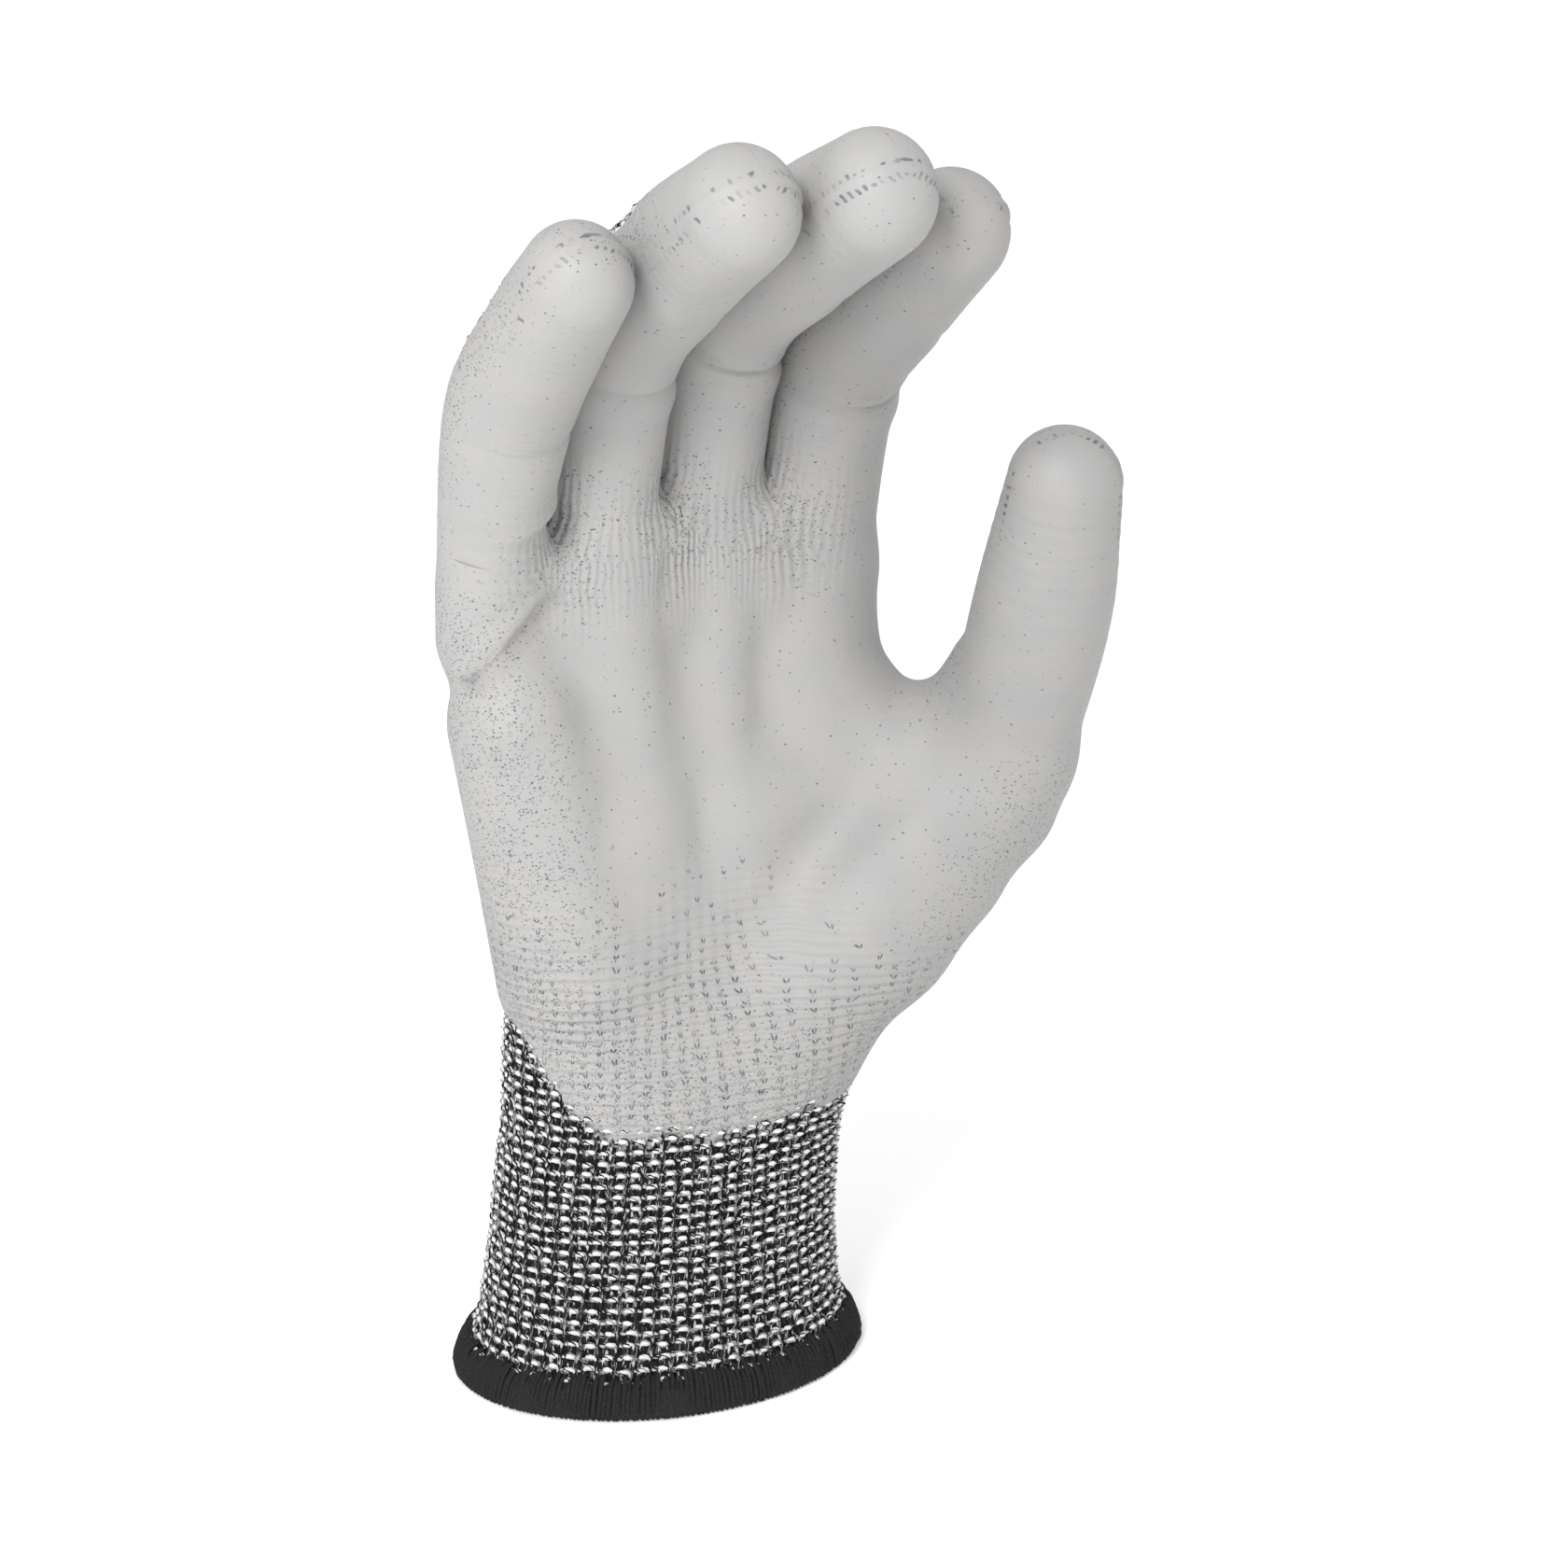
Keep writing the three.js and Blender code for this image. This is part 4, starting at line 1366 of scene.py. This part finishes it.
def hem_stitches():
    """The upright stitches that bind the band, each a little out of place and of its own height."""
    base = np.arange(STITCHES) * 2 * math.pi / STITCHES
    jog = RANDOM.normal(0, 0.004, STITCHES)
    top = 5.7 + RANDOM.uniform(-0.7, 0.9, STITCHES)
    inside = [(np.full(STITCHES, height), out) for height, out in STITCH_INSIDE]
    highest = STITCH_OUTSIDE[-1][0]
    outside = [(height / highest * (top + 0.9), out) for height, out in STITCH_OUTSIDE]
    middle = hem_ring(base, 3.0, -1.0)
    rows = []
    for index, (height, out) in enumerate(inside + outside):
        lean = (index - 3) * 0.0022
        rows.append(hem_ring(base + jog + lean, height, out))
    outward = np.stack([unit(p - middle) for p in rows], 1)
    rows = np.stack(rows, 1)
    radius = 0.5 + RANDOM.uniform(-0.06, 0.05, (STITCHES, 1)) + np.zeros(rows.shape[:2])
    corners, faces, source = tubes(rows, outward, radius, False)
    run = np.tile(np.arange(rows.shape[1]) * 1.3, STITCHES)[source]
    turn = np.tile(np.arange(YARN_SIDES) / YARN_SIDES, rows.shape[0] * rows.shape[1])
    values = {"yarn_run": run, "yarn_turn": turn}
    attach(make_mesh("hem_stitches", corners, faces, HEM_THREAD, values), "cuff")


def build_elastic():
    """One elastic thread, laid in as a spiral along the inside of the cuff."""
    low, high = cad_mm("cuff_elastic")
    rounds = int((high[2] - low[2] - 1.5) / (2 * COURSE))
    column = np.arange(rounds * CUFF_WALES * 4) / 4
    height = low[2] + 1.0 + column / CUFF_WALES * 2 * COURSE
    p, normals = settle(palm_field, on_body(column, height))
    p = p - normals * (SHADE_LINER_DEPTH + 0.45)
    radius = np.full((1, len(column)), 0.3)
    corners, faces, source = tubes(p[None], normals[None], radius, False)
    bend_wrist(make_mesh("elastic_thread", corners, faces, ELASTIC, {"yarn_run": column[source]}))


def take_over(piece, slot, *nodes):
    """When the piece exists, hides these CAD nodes, which it stands for; the slot is not used."""
    obj = bpy.data.objects.get(piece)
    if obj is not None:
        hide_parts(*nodes)


def stand_in():
    """Which piece stands for which node of the CAD model."""
    for digit in DIGITS.values():
        for index, segment in enumerate(THUMB_SEGMENTS if digit.is_thumb else SEGMENTS):
            label = f"{digit.name}_{index}"
            node = f"{digit.name}_{segment}"
            take_over("coat_" + label, "coating", node + "_coating")
            for kind in ("yarn_", "filament_", "liner_"):
                take_over(kind + label, "knit", node + "_knit")
    take_over("coat_palm", "coating", "palm_coating")
    take_over("liner_palm", "knit", "palm_knit", "cuff_knit")
    for kind in ("yarn_", "filament_"):
        take_over(kind + "cuff", "knit", "cuff_knit")
        take_over(kind + "wrist", "knit", "cuff_knit", "palm_knit")
        take_over(kind + "back", "knit", "palm_knit")
    take_over("elastic_thread", "elastic", "cuff_elastic")
    take_over("hem_band", "hem", "hem_overlock")
    take_over("hem_stitches", "hem", "hem_overlock")


def build_yarn():
    body_yarn("cuff", 5.4, 30.5)
    body_yarn("wrist", 5.4 + 12 * COURSE, 84.0)
    body_yarn("back", 5.4 + 38 * COURSE, 160.0)
    for digit in DIGITS.values():
        digit_yarn(digit)


for one in DIGITS.values():
    build_digit(one)
build_palm()
build_yarn()
hem_band()
hem_stitches()
build_elastic()
stand_in()


# ---- stage


# The camera's turn and height in degrees, its distance in metres, its lens, and its aim from the hem.
CAMERA_TURN = -30
CAMERA_LIFT = 15
CAMERA_DISTANCE = 0.7
CAMERA_LENS = 85.71
CAMERA_AIM = (27.6, 0.0, 107.6)
# Lights: place in metres, width in metres and power in watts.
LIGHTS = {"key": ((-1.0, -0.85, 0.95), 0.5, 19.0), "fill": ((1.1, -0.7, 0.6), 0.9, 1.5)}
LIGHT_TARGET = Vector((0, 0, 0.11))
# How strongly the surroundings light the glove, and how bright they look to the camera.
WORLD_LIGHT = 0.86
WORLD_SEEN = 1.05


def area_light(name, where, size, power):
    data = bpy.data.lights.new(name, "AREA")
    data.size = size
    data.energy = power
    obj = bpy.data.objects.new(name, data)
    bpy.context.scene.collection.objects.link(obj)
    obj.location = where
    obj.rotation_euler = (LIGHT_TARGET - obj.location).to_track_quat("-Z", "Y").to_euler()


def surroundings():
    """An even pale light from all round."""
    world = bpy.data.worlds.new("studio")
    bpy.context.scene.world = world
    world.use_nodes = True
    tree = world.node_tree
    tree.nodes["Background"].inputs["Color"].default_value = (1, 1, 1, 1)
    seen = tree.nodes.new("ShaderNodeLightPath").outputs["Is Camera Ray"]
    strength = tree.nodes.new("ShaderNodeMapRange")
    strength.inputs["To Min"].default_value = WORLD_LIGHT
    strength.inputs["To Max"].default_value = WORLD_SEEN
    tree.links.new(seen, strength.inputs["Value"])
    tree.links.new(strength.outputs[0], tree.nodes["Background"].inputs["Strength"])


def camera():
    """Looks down on the palm a little, from the little finger's side."""
    data = bpy.data.cameras.new("camera")
    data.lens = CAMERA_LENS
    data.sensor_width = 36.0
    obj = bpy.data.objects.new("camera", data)
    bpy.context.scene.collection.objects.link(obj)
    bpy.context.scene.camera = obj
    turn, lift = math.radians(CAMERA_TURN), math.radians(CAMERA_LIFT)
    away = Vector((math.sin(turn) * math.cos(lift), -math.cos(turn) * math.cos(lift), math.sin(lift)))
    obj.location = Vector(place(*CAMERA_AIM) * MM) + away * CAMERA_DISTANCE
    obj.rotation_euler = (-away).to_track_quat("-Z", "Y").to_euler()


def studio():
    """A plain pale floor, soft light and the camera."""
    bpy.context.scene.view_settings.view_transform = "Standard"
    surroundings()
    bpy.ops.mesh.primitive_plane_add(size=60, location=(0, 0, -0.0002))
    floor = bpy.context.object
    floor.name = "floor"
    floor.data.materials.append(floor_material())
    for name, settings in LIGHTS.items():
        area_light(name, *settings)
    camera()


studio()
